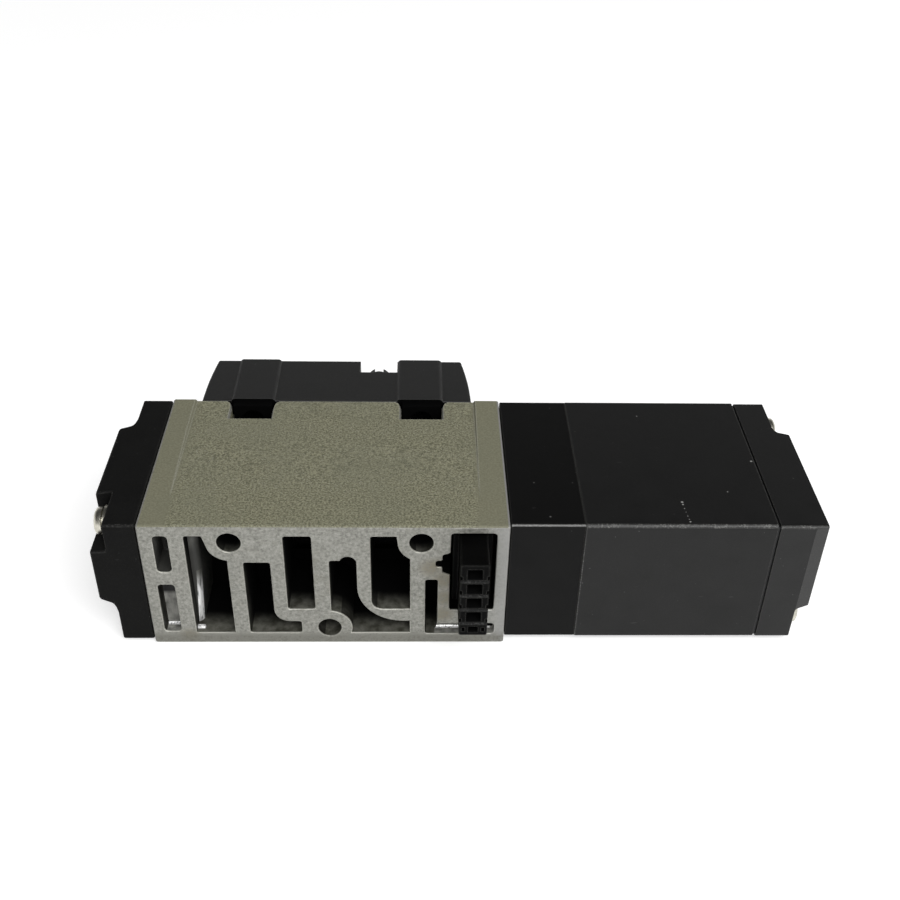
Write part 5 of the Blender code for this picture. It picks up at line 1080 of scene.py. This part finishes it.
def make_cover():
    high = COVER[1]
    outline = rounded(swelling(52.95, 51.5, 0.3) + swelling(4.85, 5.95, -0.25)[::-1])
    sides = rounded_span(*COVER_SIDES, COVER_ROUND, COVER_ROUND)
    cover = sweep("cover_moulding", outline, "Z", sides, [COVER_BLACK, COVER_SHADE])
    parts = []
    for number, ((x, z, way), left) in enumerate(zip(MOUNTS, BULGE_LEFTS), 1):
        side = COVER[1].z if way > 0 else COVER[0].z
        inner = z - way * 4.0
        right = x + BULGE_RIGHT
        shape = rounded([(x - left, inner, 0), (right, inner, 0), (right, side, 0.8), (x - left, side, 0.6)])
        profile = rounded_span(COVER_BASE, high.y, 0.0, 0.4)[ROUND_STEPS:]
        parts.append(sweep(f"cover_bulge_{number}", shape, "Y", profile, [COVER_BLACK]))
    combine(cover, parts, "UNION")
    spigots = []
    for number, (x, z, way) in enumerate(MOUNTS, 1):
        edge = COVER_SIDES[1] if way > 0 else COVER_SIDES[0]
        shape = open_recess(x, z, way, HEAD_RECESS - SPIGOT_GAP, edge, 2 * ARC_STEPS)
        span = (COVER[0].y, COVER_BASE + OVERLAP)
        spigots.append(prism(f"cover_spigot_{number}", shape, "Y", span, COVER_SHADE))
    combine(cover, spigots, "UNION")
    # Faces towards the body take the near-black painted shade
    tag_faces(cover, 1, lambda normal, centre: normal.y < -0.8)
    cuts = [cover_cavity(high.y - COVER_WALL)]
    notch = rectangle((NOTCH[0], NOTCH_FLOOR), (NOTCH[1], high.y + OVERLAP))
    cuts.append(prism("cut_notch", notch, "Z", (NOTCH_LOW_Z, BODY.z + OVERLAP), COVER_BLACK))
    through = (COVER[0].y - OVERLAP, high.y + OVERLAP)
    for number, (x, z, way) in enumerate(MOUNTS, 1):
        cuts.append(drill(f"cut_driver_{number}", "Y", (x, z), through, DRIVER_HOLE, COVER_SHADE))
    stem = (COVER_BASE - OVERLAP, through[1])
    cuts.append(drill("cut_button", "Y", OVERRIDE, stem, OVERRIDE_HOLE, COVER_SHADE))
    cuts.append(drill("cut_lens", "Y", LENS_AT, (high.y - 4.0, through[1]), LENS_HOLE, COVER_SHADE))
    combine(cover, cuts)
    place_piece(cover, "housing", "black_plastic", "top_cover")


def make_button():
    low, high = BUTTON
    head, stem, groove = 2.1, 1.55, 0.6
    head_low = NOTCH_FLOOR + 1.7
    ring = node_box("override_oring")
    profile = [(high.y, 0.0), (high.y, head - 0.3), (high.y - 0.08, head - 0.12), (high.y - 0.3, head),
               (head_low, head), (head_low, stem), (ring[1].y + 0.15, stem), (ring[1].y + 0.15, groove),
               (ring[0].y - 0.15, groove), (ring[0].y - 0.15, stem), (low.y + 0.3, stem),
               (low.y, stem - 0.3), (low.y, 0.0)]
    button = turned("slotted_override", "Y", OVERRIDE, profile, [COVER_BLACK])
    slot = rectangle((OVERRIDE[0] - 0.8, OVERRIDE[1] - 3), (OVERRIDE[0] + 0.8, OVERRIDE[1] + 3))
    combine(button, [prism("cut_slot", slot, "Y", (high.y - 1.3, high.y + OVERLAP), COVER_BLACK)])
    place_piece(button, "override", "black_plastic", "override_button")


def make_connector():
    low, high = PLUG
    centre, half, pitch, cells = 52.2, 2.25, 2.95, 5
    top = low.z + pitch * cells
    plug = block("connector_moulding", (centre - half, low.y, low.z), (centre + half, 3.0, top), "Y", 0.3,
                 (0.2, 0.0), [PLUG_BLACK])
    flange = block("plug_flange", (low.x, 2.0, low.z + 0.175), high, "Y", 0.4, (0.2, 0.2), [PLUG_BLACK])
    combine(plug, [flange], "UNION")
    front = (low.y - OVERLAP, low.y + 0.15)
    pin_span = (low.y + 4.0, high.y + OVERLAP)
    across = (centre - half - OVERLAP, centre + half + OVERLAP)
    cuts = []
    for cell in range(cells):
        pin_z = low.z + (cell + 0.5) * pitch
        z = pin_z - 0.4 if cell else pin_z - 0.175
        wide, tall = (1.1, 0.95) if cell else (0.7, 0.55)
        mouth = rectangle((centre - wide, z - tall), (centre + wide, z + tall), 0.12)
        profile = [(front[0], 0.12), (low.y, 0.12), (front[1], 0.0), (low.y + 5.0, 0.0)]
        cuts.append(sweep(f"cut_socket_{cell}", mouth, "Y", profile, [PAINTED_SHADE_BLACK]))
        cuts.append(drill(f"cut_pin_{cell}", "Y", (centre, pin_z), pin_span, PIN_HOLE, PAINTED_SHADE_BLACK))
        for side in (-1, 1):
            x = centre + side * (1.55 if cell == 0 else half)
            notch = rectangle((x - 0.35, z - 1.1), (x + 0.35, z - 0.35))
            if cell == 0:
                notch = rectangle((x - 0.25, z - 0.45), (x + 0.25, z + 0.45))
            cuts.append(prism(f"cut_notch_{cell}_{side}", notch, "Y", (front[0], low.y + 2.0), PAINTED_SHADE_BLACK))
        if cell:
            line = z - pitch / 2
            groove = [(low.y - OVERLAP, line - 0.2), (low.y, line - 0.2), (low.y + 0.4, line + 0.15),
                      (low.y + 0.4, line + 0.3), (low.y - OVERLAP, line + 0.3)]
            # The grooves between cells take the lighter edge material as a painted highlight
            cuts.append(prism(f"cut_groove_{cell}", groove, "X", across, PLUG_EDGE))
    combine(plug, cuts)
    place_piece(plug, "housing", "black_plastic", "connector_housing")


# Springs

def make_spring(name, node_name, axis, centre, radius, wire, turns, anchor):
    """Coil spring wound along an axis between the ends of its node."""
    low, high = node_box(node_name)
    along = "XYZ".index(axis)
    start = low[along] + wire
    end = high[along] - wire
    place = PLACES[axis]
    per_turn, sides = 20, 8
    count = turns * per_turn
    path = []
    for u, v in arc(centre, radius, 0, 360 * turns, count):
        path.append(Vector(place(u, v, start + (end - start) * len(path) / count)))
    rings = []
    for i, point in enumerate(path):
        forward = (path[min(i + 1, count)] - path[max(i - 1, 0)]).normalized()
        out = point - Vector(place(*centre, point[along]))
        out = (out - forward * out.dot(forward)).normalized()
        third = forward.cross(out)
        rings.append([point + (out * u + third * v) for u, v in circle((0, 0), wire, sides)])
    coil = loft(name, rings, [SLOT_MATERIALS["spring_steel"]])
    place_piece(coil, "housing", "spring_steel", node_name)
    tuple(place(0, 0, 1))
    TO_FRAME @ Vector(place(*centre, anchor))
    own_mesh(coil)


def make_springs():
    make_spring("spool_return_coil", "return_spring", "X", AXIS, 2.9, 0.4, 6,
                SPRING_FLOOR)
    make_spring("plunger_coil", "armature_spring", "X", AXIS, 1.5, 0.22, 6,
                86.8)
    make_spring("override_coil", "override_spring", "Y", OVERRIDE, 1.1, 0.2, 3,
                OVERRIDE_FLOOR)


# Other nodes keep their shapes and get worked finishes

def finish_nodes():
    slots = {part["node"]: part["material_slot"] for part in frame["record"].get("subparts", [])}
    for name, obj in frame["nodes"].items():
        if obj.hide_render:
            continue
        obj.data.materials.clear()
        obj.data.materials.append(NODE_MATERIALS.get(name) or SLOT_MATERIALS[slots[name]])


# Stage, light and camera

FLOOR_SIZE = 6.0
FLOOR_GLOW = 0.40
LIGHT_PLACE = Vector((0.25, -0.64, 0.69))
LIGHT_TARGET = Vector((0, 0, 0.01))
LIGHT_SIZE = (0.9, 0.6)
LIGHT_POWER = 9.0
CAMERA_PLACE = (-0.006869, -0.157488, 0.139177)
CAMERA_TURN = (-2.08, 53.867, 1.466)
CAMERA_LENS = 45.878
SENSOR = 36.0


def background_rays(tree):
    """1 for camera, glossy and transmission rays, else 0."""
    path = node(tree, "LightPath")
    rays = [path.outputs[name] for name in ("Is Camera Ray", "Is Glossy Ray", "Is Transmission Ray")]
    return calculate(tree, "MAXIMUM", calculate(tree, "MAXIMUM", rays[0], rays[1]), rays[2])


def make_floor():
    bm = bmesh.new()
    bmesh.ops.create_grid(bm, x_segments=1, y_segments=1, size=FLOOR_SIZE / 2)
    material = bpy.data.materials.new("pale_floor")
    material.use_nodes = True
    tree = material.node_tree
    tree.nodes.clear()
    diffuse = node(tree, "BsdfDiffuse", {"Color": (0.80, 0.80, 0.80, 1)})
    glow = node(tree, "Emission", {"Color": (1, 1, 1, 1)})
    away = node(tree, "VectorMath", {0: position(tree)}, operation="LENGTH").outputs["Value"]
    strength = remap(tree, away, 0.3, 1.3, FLOOR_GLOW, 1.0, curve="SMOOTHSTEP")
    tree.links.new(multiply(tree, background_rays(tree), strength), glow.inputs["Strength"])
    both = node(tree, "AddShader", {0: diffuse.outputs[0], 1: glow.outputs[0]})
    output = node(tree, "OutputMaterial")
    tree.links.new(both.outputs[0], output.inputs["Surface"])
    add_object("floor", bm, [material])


def make_world():
    """Even light for surfaces, and a pale horizon under a darker roof for what they mirror."""
    world = bpy.data.worlds.new("studio")
    bpy.context.scene.world = world
    world.use_nodes = True
    tree = world.node_tree
    tree.nodes.clear()
    direction = node(tree, "TexCoord").outputs["Generated"]
    height = node(tree, "SeparateXYZ", {"Vector": direction}).outputs["Z"]
    camera = node(tree, "LightPath").outputs["Is Camera Ray"]
    shown = calculate(tree, "MAXIMUM", camera, remap(tree, height, 0.05, 0.55, 1.0, 0.06))
    seen = node(tree, "Background", {"Color": (1, 1, 1, 1), "Strength": shown})
    lit = node(tree, "Background", {"Color": (1, 1, 1, 1), "Strength": 0.45})
    mix = node(tree, "MixShader", {0: background_rays(tree), 1: lit.outputs[0], 2: seen.outputs[0]})
    output = node(tree, "OutputWorld")
    tree.links.new(mix.outputs[0], output.inputs["Surface"])


def make_light():
    data = bpy.data.lights.new("front_softbox", "AREA")
    data.shape = "RECTANGLE"
    data.size, data.size_y = LIGHT_SIZE
    data.energy = LIGHT_POWER
    light = add_to_scene("front_softbox", data)
    light.location = LIGHT_PLACE
    light.rotation_mode = "QUATERNION"
    light.rotation_quaternion = (LIGHT_TARGET - LIGHT_PLACE).to_track_quat("-Z", "Y")


def make_camera():
    data = bpy.data.cameras.new("camera")
    data.sensor_width = SENSOR
    data.lens = CAMERA_LENS
    data.clip_start = 0.01
    data.clip_end = 20
    camera = add_to_scene("camera", data)
    yaw, pitch, roll = (math.radians(angle) for angle in CAMERA_TURN)
    turn = Matrix.Rotation(yaw, 4, "Z") @ Matrix.Rotation(pitch, 4, "X") @ Matrix.Rotation(roll, 4, "Z")
    camera.matrix_world = Matrix.Translation(CAMERA_PLACE) @ turn
    bpy.context.scene.camera = camera


make_camera()
make_floor()
make_world()
make_light()
make_body()
make_end_plate()
make_adapter()
make_housing()
make_cap()
make_cover()
make_button()
make_connector()
make_springs()
finish_nodes()

bpy.context.scene.view_settings.view_transform = "Standard"
